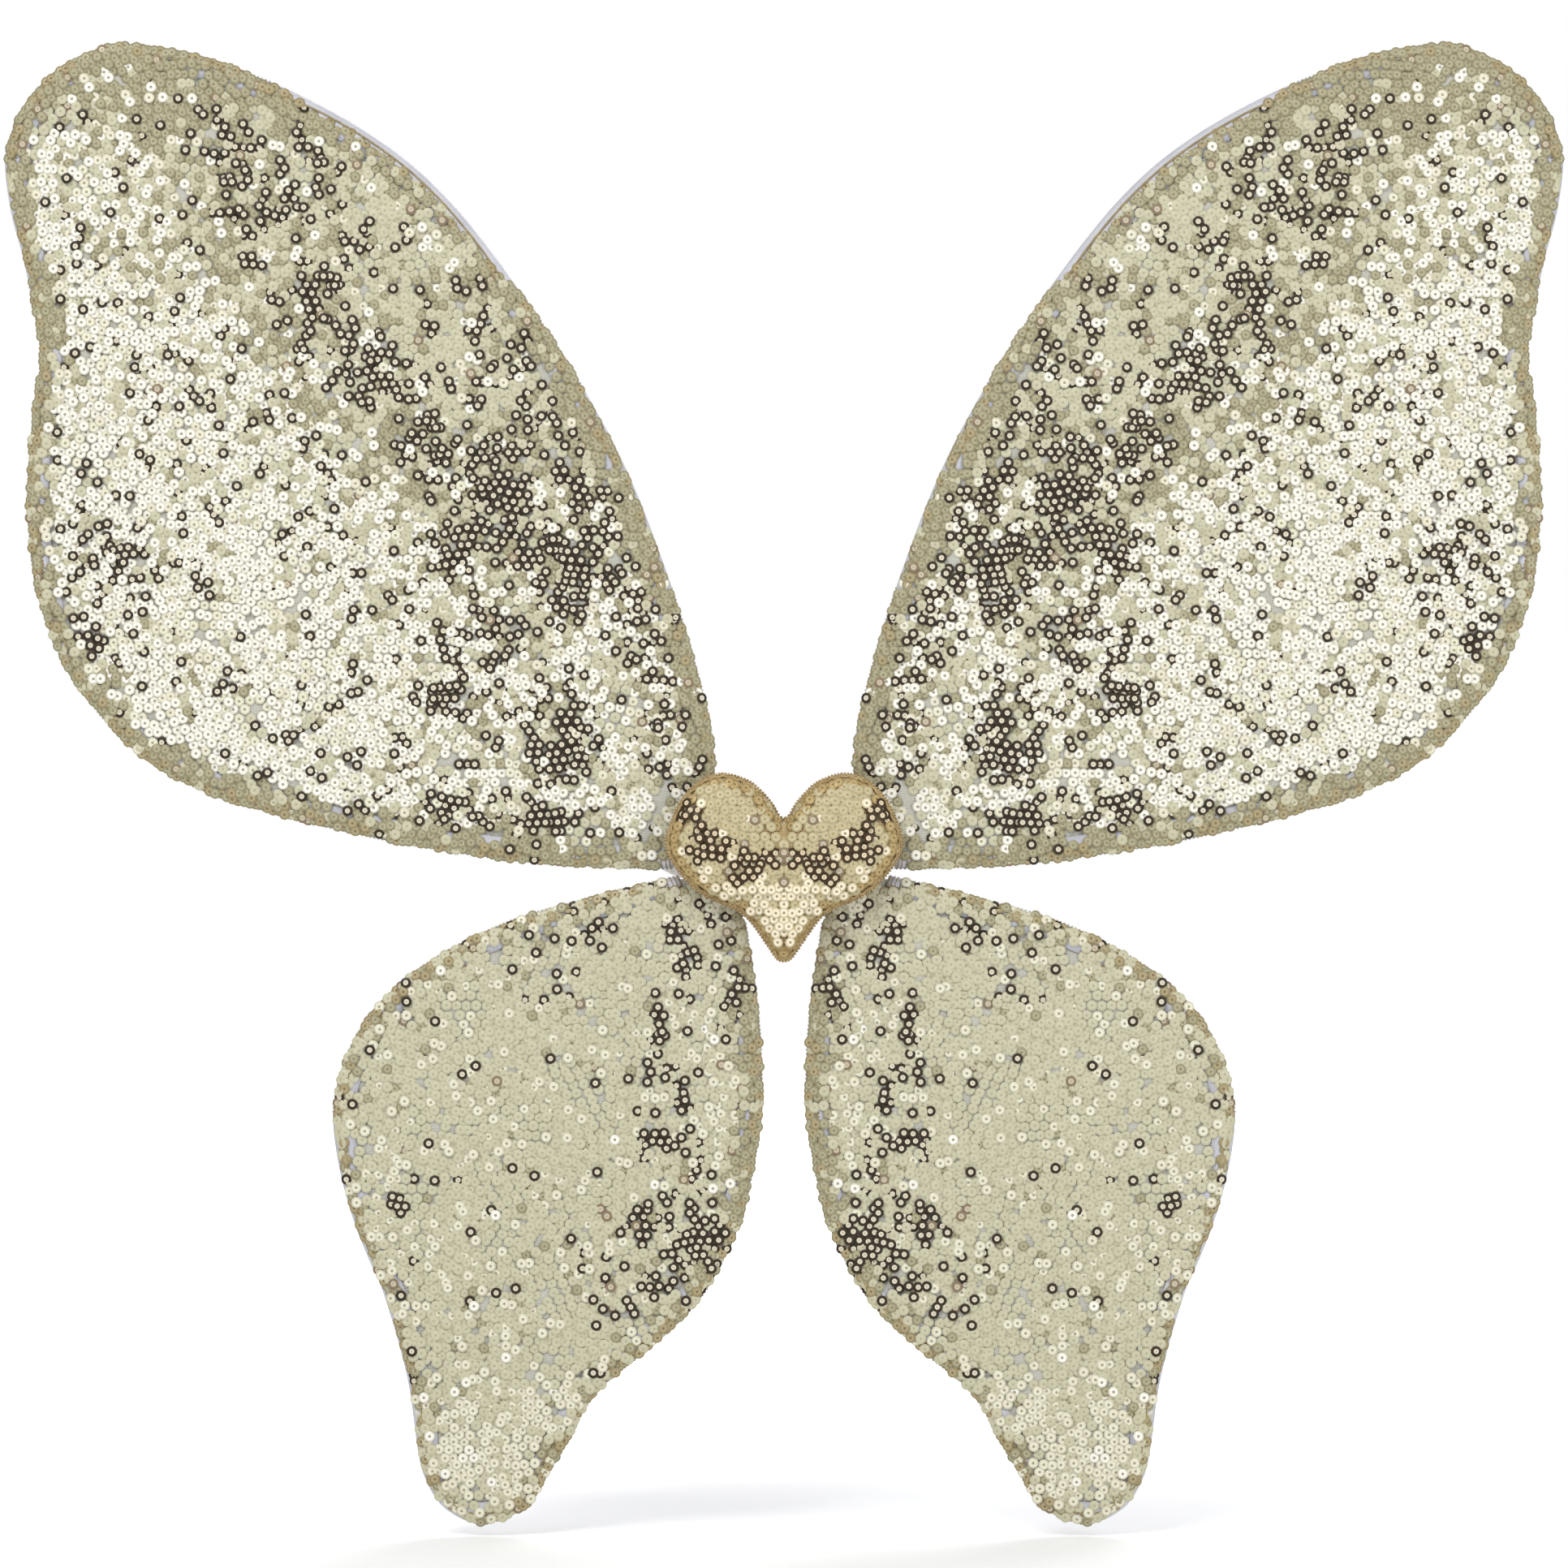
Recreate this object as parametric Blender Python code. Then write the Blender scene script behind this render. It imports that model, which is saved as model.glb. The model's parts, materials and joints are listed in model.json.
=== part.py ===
"""Wearable fairy wings: four wire-framed fabric wings hinged on a padded heart, with two shoulder loops.

Frame: +Z up, +X to the viewer's right, and the sequinned front faces -Y. The origin lies on the back patch's
rear face, the flat that rests on the wearer's back. The wings lie in the plane y = FRAME_Y.
Shapes are drawn in millimetres as (u, z), with u the distance outboard of the mirror line.
Each wing's wire loop has a straight root bar, which turns in a fabric sleeve stitched to the hub. That bar is
the wing's hinge axis.
"""

import math

import bmesh
import bpy
from mathutils import Matrix, Vector
from mathutils.geometry import interpolate_bezier

MM = 0.001
MAX_TURN = math.radians(14)
SIDES = {"left": -1.0, "right": 1.0}

# Hub stack, from the wearer's back forwards.
PATCH_T = 1.6
TAB_T = 1.1
BOARD_T = 1.6
GAP = 0.3
PATCH_FRONT = -PATCH_T
TAB_BACK = PATCH_FRONT - GAP
TAB_FRONT = TAB_BACK - TAB_T
BOARD_BACK = TAB_FRONT - GAP
BOARD_FRONT = BOARD_BACK - BOARD_T
FRAME_Y = BOARD_FRONT - 1.1
HUB_SCALE = 0.60
CORE_SCALE = 0.33
CORE_BACK = FRAME_Y + 0.8
CORE_FRONT = FRAME_Y - 0.95

# Wing build-up, measured from the wire's centre line and from the outline inwards.
WIRE_R = 0.8
WIRE_INSET = 2.2
WIRE_BEND_R = 2.5
BINDING_W = 5.9
BINDING_HALF_T = 2.2
BINDING_WALL = 0.7
BINDING_CHAMFER = 0.85
PANEL_INSET = BINDING_W + 0.4
PANEL_Y = (FRAME_Y - BINDING_HALF_T, FRAME_Y - 1.2)
LINING_Y = (FRAME_Y + 1.2, FRAME_Y + 2.0)
FERRULE_R = 1.3
FERRULE_BORE_R = 1.05
FERRULE_L = 9.0

# Root sleeves: a tunnel round the root bar, with a tail stitched to the hub.
SLEEVE_R = 1.75
SLEEVE_BORE_R = 0.95
SLEEVE_TAIL_HALF_T = 0.7
ROOT_CLEARANCE = 2.3

# Heart cushion, from its seam.
SEAM_Y = FRAME_Y - 9.2
SEAM_HALF_T = 0.8
SEAM_OUT = 1.3
RIM_SCALE = 0.955
DOME_HEIGHT = 9.0
BELLY_DEPTH = 7.6
SKIN_T = 0.7
SKIN_SCALE = 0.965
FILL_SCALE = 0.945
FILL_GAP = 0.4
HEART_CENTRE_Z = 4.0
RING_SCALES = (1.0, 0.93, 0.8, 0.58, 0.3)

# Shoulder loops: flat elastic that leaves the hub at LOOP_ANGLE from the wing plane.
ELASTIC_W = 7.0
ELASTIC_T = 1.1
TAB_INNER_U = 7.0
LOOP_HINGE_U = 21.3
TAB_OUTER_U = LOOP_HINGE_U - 0.7
LOOP_START = 0.9
LOOP_ANGLE = math.radians(65)
TWIST_LENGTH = 45.0
LOOP_STEP = 6.0
TAB_Z = {"upper": 11.0, "lower": 1.5}
LOOP_PATH = (
    (LOOP_START, TAB_Z["upper"]), (7, 12.5), (18, 25), (37, 50), (62, 76), (92, 90), (118, 84),
    (129, 62), (116, 38), (86, 19), (46, 7), (18, 2.2), (7, 1.5), (LOOP_START, TAB_Z["lower"]),
)

WINGS = {
    "upper": {
        "outline": (
            (19.1, 26), (20.1, 40.5), (29.2, 74.5), (47, 120), (75, 165.5), (104.5, 199.5),
            (143.5, 222.3), (183, 233), (207.8, 222.3), (218.8, 199.5), (213.3, 171), (209, 148),
            (212.4, 103), (204.4, 63.2), (175, 29), (125, 12), (72, 3), (31, 1.1),
        ),
        "bar": ((20.8, 16.5), (27.0, 3.6)),
        "step": 18.0,
        "sleeve_length": 8.0,
        "sleeve_tail": 7.0,
        "ferrule_at": (82, 6),
    },
    "lower": {
        "outline": (
            (29.5, -0.1), (48.5, -4.8), (71.5, -11), (96.7, -22.4), (117, -40), (126.8, -66),
            (121.5, -96), (112.4, -118.6), (106, -141.4), (102.8, -163), (97, -176.5), (84.5, -182.6),
            (70.5, -176), (61, -160.5), (52, -145.5), (36.5, -132.5), (22.6, -118.6), (12.3, -99),
            (6, -68), (6.8, -40), (9.2, -22), (10.4, -13.4),
        ),
        "bar": ((21.6, -2.6), (13.0, -8.8)),
        "step": 16.0,
        "sleeve_length": 5.5,
        "sleeve_tail": 5.0,
        "ferrule_at": (60, -9.5),
    },
}
HEART_HALF = (
    (0, 15.2), (4.5, 20.5), (9.2, 25.4), (15.8, 28.2), (20.6, 28.0), (25.6, 25.4), (30, 20),
    (33.5, 11), (32.7, 5), (28.8, -0.5), (23, -5.6), (13.3, -10), (8.9, -13.8), (5, -19.3),
    (1.8, -24), (0, -24.8),
)
HEART_STEP = 8.0

COLOURS = {
    "steel": ((0.55, 0.55, 0.56), 0.35, 1.0),
    "sequin": ((0.78, 0.74, 0.58), 0.30, 0.8),
    "binding": ((0.55, 0.46, 0.28), 0.55, 0.3),
    "satin": ((0.80, 0.81, 0.84), 0.45, 0.0),
    "felt": ((0.86, 0.82, 0.70), 0.95, 0.0),
    "foam": ((0.93, 0.93, 0.90), 1.0, 0.0),
    "board": ((0.62, 0.54, 0.42), 0.90, 0.0),
    "elastic": ((0.93, 0.91, 0.86), 0.80, 0.0),
}


# ---------------------------------------------------------------- scene and materials


def clear_scene():
    for obj in list(bpy.data.objects):
        bpy.data.objects.remove(obj)


def make_material(name):
    colour, roughness, metallic = COLOURS[name]
    material = bpy.data.materials.new(name)
    material.use_nodes = True
    shader = material.node_tree.nodes["Principled BSDF"]
    shader.inputs["Base Color"].default_value = (*colour, 1.0)
    shader.inputs["Roughness"].default_value = roughness
    shader.inputs["Metallic"].default_value = metallic
    return material


def add_object(name, data, material, parent=None):
    """Links an object, made from data whose coordinates are in its parent's frame."""
    obj = bpy.data.objects.new(name, data)
    bpy.context.scene.collection.objects.link(obj)
    data.materials.append(bpy.data.materials.get(material) or make_material(material))
    obj.parent = parent
    return obj


def add_empty(name, location):
    empty = bpy.data.objects.new(name, None)
    empty.location = location
    bpy.context.scene.collection.objects.link(empty)
    return empty


def mesh_of(bm, name, parent=None):
    """Closes up a bmesh drawn in world millimetres, and moves it to metres in the parent's frame."""
    bmesh.ops.recalc_face_normals(bm, faces=bm.faces)
    bmesh.ops.transform(bm, matrix=Matrix.Scale(MM, 4), verts=bm.verts)
    if parent is not None:
        bmesh.ops.translate(bm, vec=-parent.location, verts=bm.verts)
    mesh = bpy.data.meshes.new(name)
    bm.to_mesh(mesh)
    bm.free()
    return mesh


# ---------------------------------------------------------------- outlines


def smooth_path(points, step, closed=False):
    """Points about step apart on a Catmull-Rom curve through points."""
    knots = [Vector(p) for p in points]
    count = len(knots)
    path = []
    for i in range(count if closed else count - 1):
        here, there = knots[i], knots[(i + 1) % count]
        before = knots[i - 1] if closed or i else here
        after = knots[(i + 2) % count] if closed or i + 2 < count else there
        leaving, arriving = (there - before) / 6, (after - here) / 6
        pieces = round(max(1, (there - here).length / step, leaving.angle(arriving) / MAX_TURN))
        path += interpolate_bezier(here, here + leaving, there - arriving, there, pieces + 1)[:-1]
    return path if closed else path + [knots[-1]]


def inward_normals(path, closed=False):
    """Unit normals on the inner side of a path that runs clockwise as seen with u to the right and z up."""
    normals = []
    count = len(path)
    for i in range(count):
        before = path[i - 1] if closed or i else path[i]
        after = path[(i + 1) % count] if closed or i + 1 < count else path[i]
        along = (after - before).normalized()
        normals.append(Vector((along.y, -along.x)))
    return normals


def inset(path, distance, closed=False):
    return [p + n * distance for p, n in zip(path, inward_normals(path, closed))]


def bend_corner(before, corner, after, radius, pieces=4):
    """The arc that a wire bent at corner follows."""
    to_before, to_after = (before - corner).normalized(), (after - corner).normalized()
    half_turn = (math.pi - to_before.angle(to_after)) / 2
    reach = radius * math.tan(half_turn)
    start, end = corner + to_before * reach, corner + to_after * reach
    handle = radius * 4 / 3 * math.tan(half_turn / 2)
    return list(interpolate_bezier(start, start - to_before * handle, end - to_after * handle, end, pieces))


def wing_outline(wing):
    return smooth_path(wing["outline"], wing["step"])


def bar_frame(wing):
    """Middle of the root bar, its direction, and the outboard direction across it, in (u, z)."""
    first, last = (Vector(p) for p in wing["bar"])
    along = (last - first).normalized()
    across = Vector((-along.y, along.x))
    outline = wing_outline(wing)
    middle = (first + last) / 2
    if (outline[len(outline) // 2] - middle).dot(across) < 0:
        across = -across
    return middle, along, across


def wire_loop(wing):
    """Centre line of the frame wire: inside the wing's edge, then across the root as a straight bar."""
    path = inset(wing_outline(wing), WIRE_INSET)
    ends = sorted((Vector(p) for p in wing["bar"]), key=lambda p: (p - path[-1]).length)
    near_last, near_first = ends
    path += bend_corner(path[-1], near_last, near_first, WIRE_BEND_R)
    path += bend_corner(near_last, near_first, path[0], WIRE_BEND_R)
    return path


def panel_loop(wing):
    """Edge of the flat fabric inside the binding, cut back at the root so that it clears the sleeve."""
    path = inset(wing_outline(wing), PANEL_INSET)
    _, _, across = bar_frame(wing)
    ends = sorted((Vector(p) for p in wing["bar"]), key=lambda p: (p - path[-1]).length)
    return path + [p + across * ROOT_CLEARANCE for p in ends]


def heart_loop(scale=1.0, outset=0.0):
    """Closed heart outline, clockwise from the cleft, scaled about the cushion's middle."""
    half = smooth_path(HEART_HALF, HEART_STEP)
    loop = half + [Vector((-p.x, p.y)) for p in reversed(half[1:-1])]
    if outset:
        loop = inset(loop, -outset, closed=True)
    middle = Vector((0, HEART_CENTRE_Z))
    return [middle + (p - middle) * scale for p in loop]


# ---------------------------------------------------------------- solids


def place(point, y, side=1.0):
    return Vector((side * point.x, y, point.y))


def plate(loop, y_range, side=1.0):
    """A flat sheet cut to loop, between two y planes."""
    bm = bmesh.new()
    back = [bm.verts.new(place(p, y_range[1], side)) for p in loop]
    face = bm.faces.new(back)
    grown = bmesh.ops.extrude_face_region(bm, geom=[face])
    moved = [v for v in grown["geom"] if isinstance(v, bmesh.types.BMVert)]
    bmesh.ops.translate(bm, vec=(0, y_range[0] - y_range[1], 0), verts=moved)
    if not face.is_valid:
        bm.faces.new(back)
    return bm


def ring_solid(bm, rings, closed_path):
    """Skins a row of rings that all have the same count of points, with caps on an open row."""
    rows = [[bm.verts.new(p) for p in ring] for ring in rings]
    count = len(rows[0])
    for i in range(len(rows) if closed_path else len(rows) - 1):
        here, there = rows[i], rows[(i + 1) % len(rows)]
        for j in range(count):
            bm.faces.new((here[j], here[(j + 1) % count], there[(j + 1) % count], there[j]))
    if not closed_path:
        bm.faces.new(rows[0])
        bm.faces.new(rows[-1])
    return bm


def sweep(path, profile, y, side=1.0, closed=False):
    """Sweeps a profile of (inward distance, y offset) points along a path in the wing plane."""
    normals = inward_normals(path, closed)
    rings = [[place(p + n * d, y + dy, side) for d, dy in profile] for p, n in zip(path, normals)]
    return ring_solid(bmesh.new(), rings, closed)


def binding_profile():
    """A folded strip, open towards the middle of the wing, with the wire inside the fold."""
    out, wall, half, cut = BINDING_W, BINDING_WALL, BINDING_HALF_T, BINDING_CHAMFER
    inner = half - wall
    return (
        (out, -half), (cut, -half), (0, -half + cut), (0, half - cut), (cut, half), (out, half),
        (out, inner), (wall, inner), (wall, -inner), (out, -inner),
    )


def layered(scale, y_of):
    """Heart rings at RING_SCALES, each at the y that y_of gives for its share of the full outline."""
    return [[place(p, y_of(f)) for p in heart_loop(RIM_SCALE * scale * f)] for f in RING_SCALES]


def dome_y(height):
    return lambda f: SEAM_Y - GAP - height * math.sqrt(1 - f * f)


def belly_y(depth):
    return lambda f: SEAM_Y + GAP + depth * (1 - f**2.5)


def skin(outer, outer_middle, inner, inner_middle):
    """A closed shell between two sets of rings, each closed by a fan to its middle point."""
    bm = bmesh.new()
    rows = [[bm.verts.new(p) for p in ring] for ring in list(reversed(outer)) + inner]
    count = len(rows[0])
    for here, there in zip(rows, rows[1:]):
        for j in range(count):
            bm.faces.new((here[j], here[(j + 1) % count], there[(j + 1) % count], there[j]))
    for row, middle in ((rows[0], outer_middle), (rows[-1], inner_middle)):
        tip = bm.verts.new(middle)
        for j in range(count):
            bm.faces.new((row[j], row[(j + 1) % count], tip))
    return bm


def circle(radius, sides):
    turns = [2 * math.pi * i / sides for i in range(sides)]
    return [(radius * math.cos(a), radius * math.sin(a)) for a in turns]


def profile_curve(name, outline, hole_r, length):
    """An outline with a round hole at its origin, extruded along its local z. Takes millimetres."""
    curve = bpy.data.curves.new(name, "CURVE")
    curve.dimensions = "2D"
    curve.fill_mode = "BOTH"
    curve.extrude = length / 2 * MM
    for points in (outline, circle(hole_r, 10)):
        spline = curve.splines.new("POLY")
        spline.points.add(len(points) - 1)
        for point, (x, y) in zip(spline.points, points):
            point.co = (x * MM, y * MM, 0, 1)
        spline.use_cyclic_u = True
    return curve


def place_along(obj, centre, local_x, local_z):
    """Puts obj's origin at centre, in millimetres in its parent's frame, with two of its axes given."""
    local_y = local_z.cross(local_x)
    turn = Matrix((local_x, local_y, local_z)).transposed().to_4x4()
    offset = obj.parent.location if obj.parent is not None else Vector()
    obj.matrix_local = Matrix.Translation(centre * MM - offset) @ turn


# ---------------------------------------------------------------- the wings


def sleeve_outline(tail):
    """Teardrop: round the root bar, then a flat tail towards local +x."""
    root = math.asin(SLEEVE_TAIL_HALF_T / SLEEVE_R)
    steps = 9
    arc = [root + (2 * math.pi - 2 * root) * i / steps for i in range(steps + 1)]
    points = [(SLEEVE_R * math.cos(a), SLEEVE_R * math.sin(a)) for a in arc]
    return points + [(tail, -SLEEVE_TAIL_HALF_T), (tail, SLEEVE_TAIL_HALF_T)]


def add_wing(level, side_name):
    side = SIDES[side_name]
    wing = WINGS[level]
    prefix = f"{level}_{side_name}"
    middle, along, across = bar_frame(wing)
    pivot = add_empty(f"{prefix}_pivot", place(middle, FRAME_Y, side) * MM)

    loop = wire_loop(wing)
    bm = sweep(loop, circle(WIRE_R, 6), FRAME_Y, side, closed=True)
    add_object(f"{prefix}_frame_wire", mesh_of(bm, "wire", pivot), "steel", pivot)

    bm = sweep(wing_outline(wing), binding_profile(), FRAME_Y, side)
    add_object(f"{prefix}_edge_binding", mesh_of(bm, "binding", pivot), "binding", pivot)

    bm = plate(panel_loop(wing), PANEL_Y, side)
    add_object(f"{prefix}_sequin_panel", mesh_of(bm, "panel", pivot), "sequin", pivot)

    bm = plate(panel_loop(wing), LINING_Y, side)
    add_object(f"{prefix}_lining_panel", mesh_of(bm, "lining", pivot), "satin", pivot)

    add_ferrule(prefix, wing, loop, side, pivot)
    add_sleeve(prefix, wing, side)


def add_ferrule(prefix, wing, loop, side, pivot):
    """The crimped tube that joins the ends of the frame wire, inside the binding."""
    target = Vector(wing["ferrule_at"])
    count = len(loop)
    nearest = min(range(count), key=lambda i: ((loop[i] + loop[(i + 1) % count]) / 2 - target).length)
    start, end = (place(loop[i % count], FRAME_Y, side) for i in (nearest, nearest + 1))
    curve = profile_curve("ferrule", circle(FERRULE_R, 10), FERRULE_BORE_R, FERRULE_L)
    obj = add_object(f"{prefix}_wire_ferrule", curve, "steel", pivot)
    place_along(obj, (start + end) / 2, Vector((0, 1, 0)), (end - start).normalized())


def add_sleeve(prefix, wing, side):
    middle, along, across = bar_frame(wing)
    curve = profile_curve("sleeve", sleeve_outline(wing["sleeve_tail"]), SLEEVE_BORE_R, wing["sleeve_length"])
    obj = add_object(f"{prefix}_root_sleeve", curve, "binding")
    inboard, bar = place(-across, 0, side), place(along, 0, side)
    place_along(obj, place(middle, FRAME_Y, side), inboard, bar)


# ---------------------------------------------------------------- the hub and the heart


def add_hub():
    sheets = (
        ("back_patch", HUB_SCALE, (PATCH_FRONT, 0.0), "felt"),
        ("hub_board", HUB_SCALE, (BOARD_FRONT, BOARD_BACK), "board"),
        ("hub_core", CORE_SCALE, (CORE_FRONT, CORE_BACK), "felt"),
    )
    for name, scale, y_range, material in sheets:
        add_object(name, mesh_of(plate(heart_loop(scale), y_range), name), material)


def add_heart():
    top = Vector((0, 0, HEART_CENTRE_Z))
    dome, dome_inner = dome_y(DOME_HEIGHT), dome_y(DOME_HEIGHT - SKIN_T)
    belly, belly_inner = belly_y(BELLY_DEPTH), belly_y(BELLY_DEPTH - SKIN_T)
    skins = (("heart_cover", dome, dome_inner, "sequin"), ("heart_back", belly, belly_inner, "felt"))
    for name, outer, inner, material in skins:
        rings, inner_rings = layered(1.0, outer), layered(SKIN_SCALE, inner)
        middles = [top + Vector((0, y_of(0), 0)) for y_of in (outer, inner)]
        bm = skin(rings, middles[0], inner_rings, middles[1])
        add_object(name, mesh_of(bm, name), material)

    front, back = dome_y(DOME_HEIGHT - SKIN_T - FILL_GAP), belly_y(BELLY_DEPTH - SKIN_T - FILL_GAP)
    middles = [top + Vector((0, y_of(0), 0)) for y_of in (front, back)]
    bm = skin(layered(FILL_SCALE, front), middles[0], layered(FILL_SCALE, back), middles[1])
    add_object("heart_filling", mesh_of(bm, "heart_filling"), "foam")

    rim = heart_loop(RIM_SCALE)
    cut = SEAM_HALF_T / 2
    profile = (
        (-GAP, -SEAM_HALF_T), (-GAP, SEAM_HALF_T), (-SEAM_OUT + cut, SEAM_HALF_T),
        (-SEAM_OUT, 0), (-SEAM_OUT + cut, -SEAM_HALF_T),
    )
    bm = sweep(rim, profile, SEAM_Y, closed=True)
    add_object("heart_seam_binding", mesh_of(bm, "seam"), "binding")


# ---------------------------------------------------------------- the shoulder loops


def add_tab(side_name, level):
    """The end of the elastic that is stitched between the board and the back patch."""
    side = SIDES[side_name]
    half = ELASTIC_W / 2
    corners = [Vector((u, TAB_Z[level] + dz)) for u, dz in (
        (TAB_INNER_U, -half), (TAB_OUTER_U, -half), (TAB_OUTER_U, half), (TAB_INNER_U, half))]
    bm = plate(corners, (TAB_FRONT, TAB_BACK), side)
    name = f"{side_name}_{level}_strap_tab"
    add_object(name, mesh_of(bm, name), "elastic")


def add_loop(side_name):
    """Flat elastic that turns from flat on the hub to on edge round the arm, in a plane through the hinge."""
    side = SIDES[side_name]
    hinge = Vector((side * LOOP_HINGE_U, (TAB_FRONT + TAB_BACK) / 2, 0))
    pivot = add_empty(f"{side_name}_strap_pivot", hinge * MM)
    outward = Vector((side * math.cos(LOOP_ANGLE), math.sin(LOOP_ANGLE), 0))
    plane_normal = outward.cross(Vector((0, 0, 1)))
    path = smooth_path(LOOP_PATH, LOOP_STEP)
    normals = inward_normals(path)
    total = sum((b - a).length for a, b in zip(path, path[1:]))
    travelled = 0.0
    rings = []
    for i, (point, normal) in enumerate(zip(path, normals)):
        if i:
            travelled += (point - path[i - 1]).length
        share = min(1.0, min(travelled, total - travelled) / TWIST_LENGTH)
        twist = math.pi / 2 * share * share * (3 - 2 * share)
        in_plane = outward * normal.x + Vector((0, 0, normal.y))
        across = in_plane * math.cos(twist) + plane_normal * math.sin(twist)
        through = plane_normal * math.cos(twist) - in_plane * math.sin(twist)
        centre = hinge + outward * point.x + Vector((0, 0, point.y))
        half_w, half_t = across * ELASTIC_W / 2, through * ELASTIC_T / 2
        corners = (half_w + half_t, half_t - half_w, -half_w - half_t, half_w - half_t)
        rings.append([centre + corner for corner in corners])
    bm = ring_solid(bmesh.new(), rings, closed_path=False)
    name = f"{side_name}_strap_loop"
    add_object(name, mesh_of(bm, name, pivot), "elastic", pivot)


def main():
    clear_scene()
    for side_name in SIDES:
        for level in WINGS:
            add_wing(level, side_name)
        for level in TAB_Z:
            add_tab(side_name, level)
        add_loop(side_name)
    add_hub()
    add_heart()


main()
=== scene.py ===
"""Looks for a pair of sequinned fairy wings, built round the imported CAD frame.

Frame lengths are in metres. A wing's own coordinates are millimetres (u, z): u is the distance outboard of
the mirror line and z the height. The two halves mirror each other, so both are grown from the same draws.
"""

import json  # noqa: E402
import math  # noqa: E402

import bmesh  # noqa: E402
import bpy  # noqa: E402
import numpy as np  # noqa: E402
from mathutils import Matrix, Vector, noise  # noqa: E402
from mathutils.bvhtree import BVHTree  # noqa: E402
from mathutils.geometry import delaunay_2d_cdt  # noqa: E402


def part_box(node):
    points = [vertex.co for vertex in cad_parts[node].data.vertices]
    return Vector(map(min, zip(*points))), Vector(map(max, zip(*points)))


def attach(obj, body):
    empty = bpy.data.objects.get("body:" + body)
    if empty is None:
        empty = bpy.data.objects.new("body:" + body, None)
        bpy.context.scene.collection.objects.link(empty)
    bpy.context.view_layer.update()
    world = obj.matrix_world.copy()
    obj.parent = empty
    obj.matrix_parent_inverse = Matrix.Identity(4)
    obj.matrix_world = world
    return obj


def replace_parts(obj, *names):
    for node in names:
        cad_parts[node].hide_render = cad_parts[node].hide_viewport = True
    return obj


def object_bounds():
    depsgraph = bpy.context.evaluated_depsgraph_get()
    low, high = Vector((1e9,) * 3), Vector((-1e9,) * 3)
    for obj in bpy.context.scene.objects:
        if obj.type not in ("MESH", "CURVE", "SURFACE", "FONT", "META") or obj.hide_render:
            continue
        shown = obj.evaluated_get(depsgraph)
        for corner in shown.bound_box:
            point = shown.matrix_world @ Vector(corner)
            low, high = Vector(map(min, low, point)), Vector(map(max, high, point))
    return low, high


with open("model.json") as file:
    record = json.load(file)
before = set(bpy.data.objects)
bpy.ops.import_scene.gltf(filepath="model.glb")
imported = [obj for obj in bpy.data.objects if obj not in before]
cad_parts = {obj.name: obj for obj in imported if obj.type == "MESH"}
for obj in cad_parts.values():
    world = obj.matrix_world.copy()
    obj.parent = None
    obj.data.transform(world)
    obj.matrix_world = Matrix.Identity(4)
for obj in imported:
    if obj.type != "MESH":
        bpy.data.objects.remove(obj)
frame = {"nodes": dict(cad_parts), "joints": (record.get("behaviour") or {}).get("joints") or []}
CAD_LOW, CAD_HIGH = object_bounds()
NODES = frame["nodes"]
MM = 0.001
SIDES = {"left": -1.0, "right": 1.0}

# Sequins: 3 mm discs with a sloping rim, a flat middle, and a knot of thread sunk in the hole.
SEQUIN_R = 1.54
SEQUIN_HOLE_R = 0.42
KNOT_R = 0.28
KNOT_DEPTH = 0.06
SEQUIN_RISE = 0.15
SEQUIN_SIDES = 10
SEQUIN_PITCH = 2.34
SEQUIN_LIFT = 0.32
HEM_LIFT = 0.25
LAYER_H = 0.19
GAP_SHARE = 0.03
RAISED_LAYERS = 3
# Sewn rows wander: how far, over what length, along which slices of the noise. Then each sequin's own error.
DRIFT = 3.0
DRIFT_SIZE = 13
DRIFT_LAYERS = (4.2, 9.7)
SEWING_ERROR = 0.2
EDGE_ROW_PITCH = 1.7
GOLD_RIM = 3.2
GOLD_SHARE = 0.36
TILT = 0.028
FOLDED_LIFT = 3.2

# Wing build-up, as offsets from the wire's plane towards the front, and insets from the outline.
FRONT_RISE = 2.15
FABRIC_T = 0.45
TUCK_DEPTH = 1.45
HEM_INSET = 0.3
HEM_HALF = 2.4
HEM_W = 6.2
HEM_T = 0.5
ROOT_REACH = 3.4
REVEAL_W = 2.1
STITCH_PITCH = 1.15
THREAD_R = 0.19
STITCH_R = 0.2
STITCH_BULGE = 0.16
PANEL_GRID = 5.0

# The heart's seam lies this far in front of the CAD's, and its thread reaches this far each way, so that the
# upper wings can fold forward behind it. Then the gaps kept at the seam and at the wings' corners.
SEAM_FORWARD = 1.0
SEAM_HALF = 0.8
FOLD_ROOM = 0.35
CORNER_ROOM = 4.2


# ---------------------------------------------------------------- shader helpers


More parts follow.
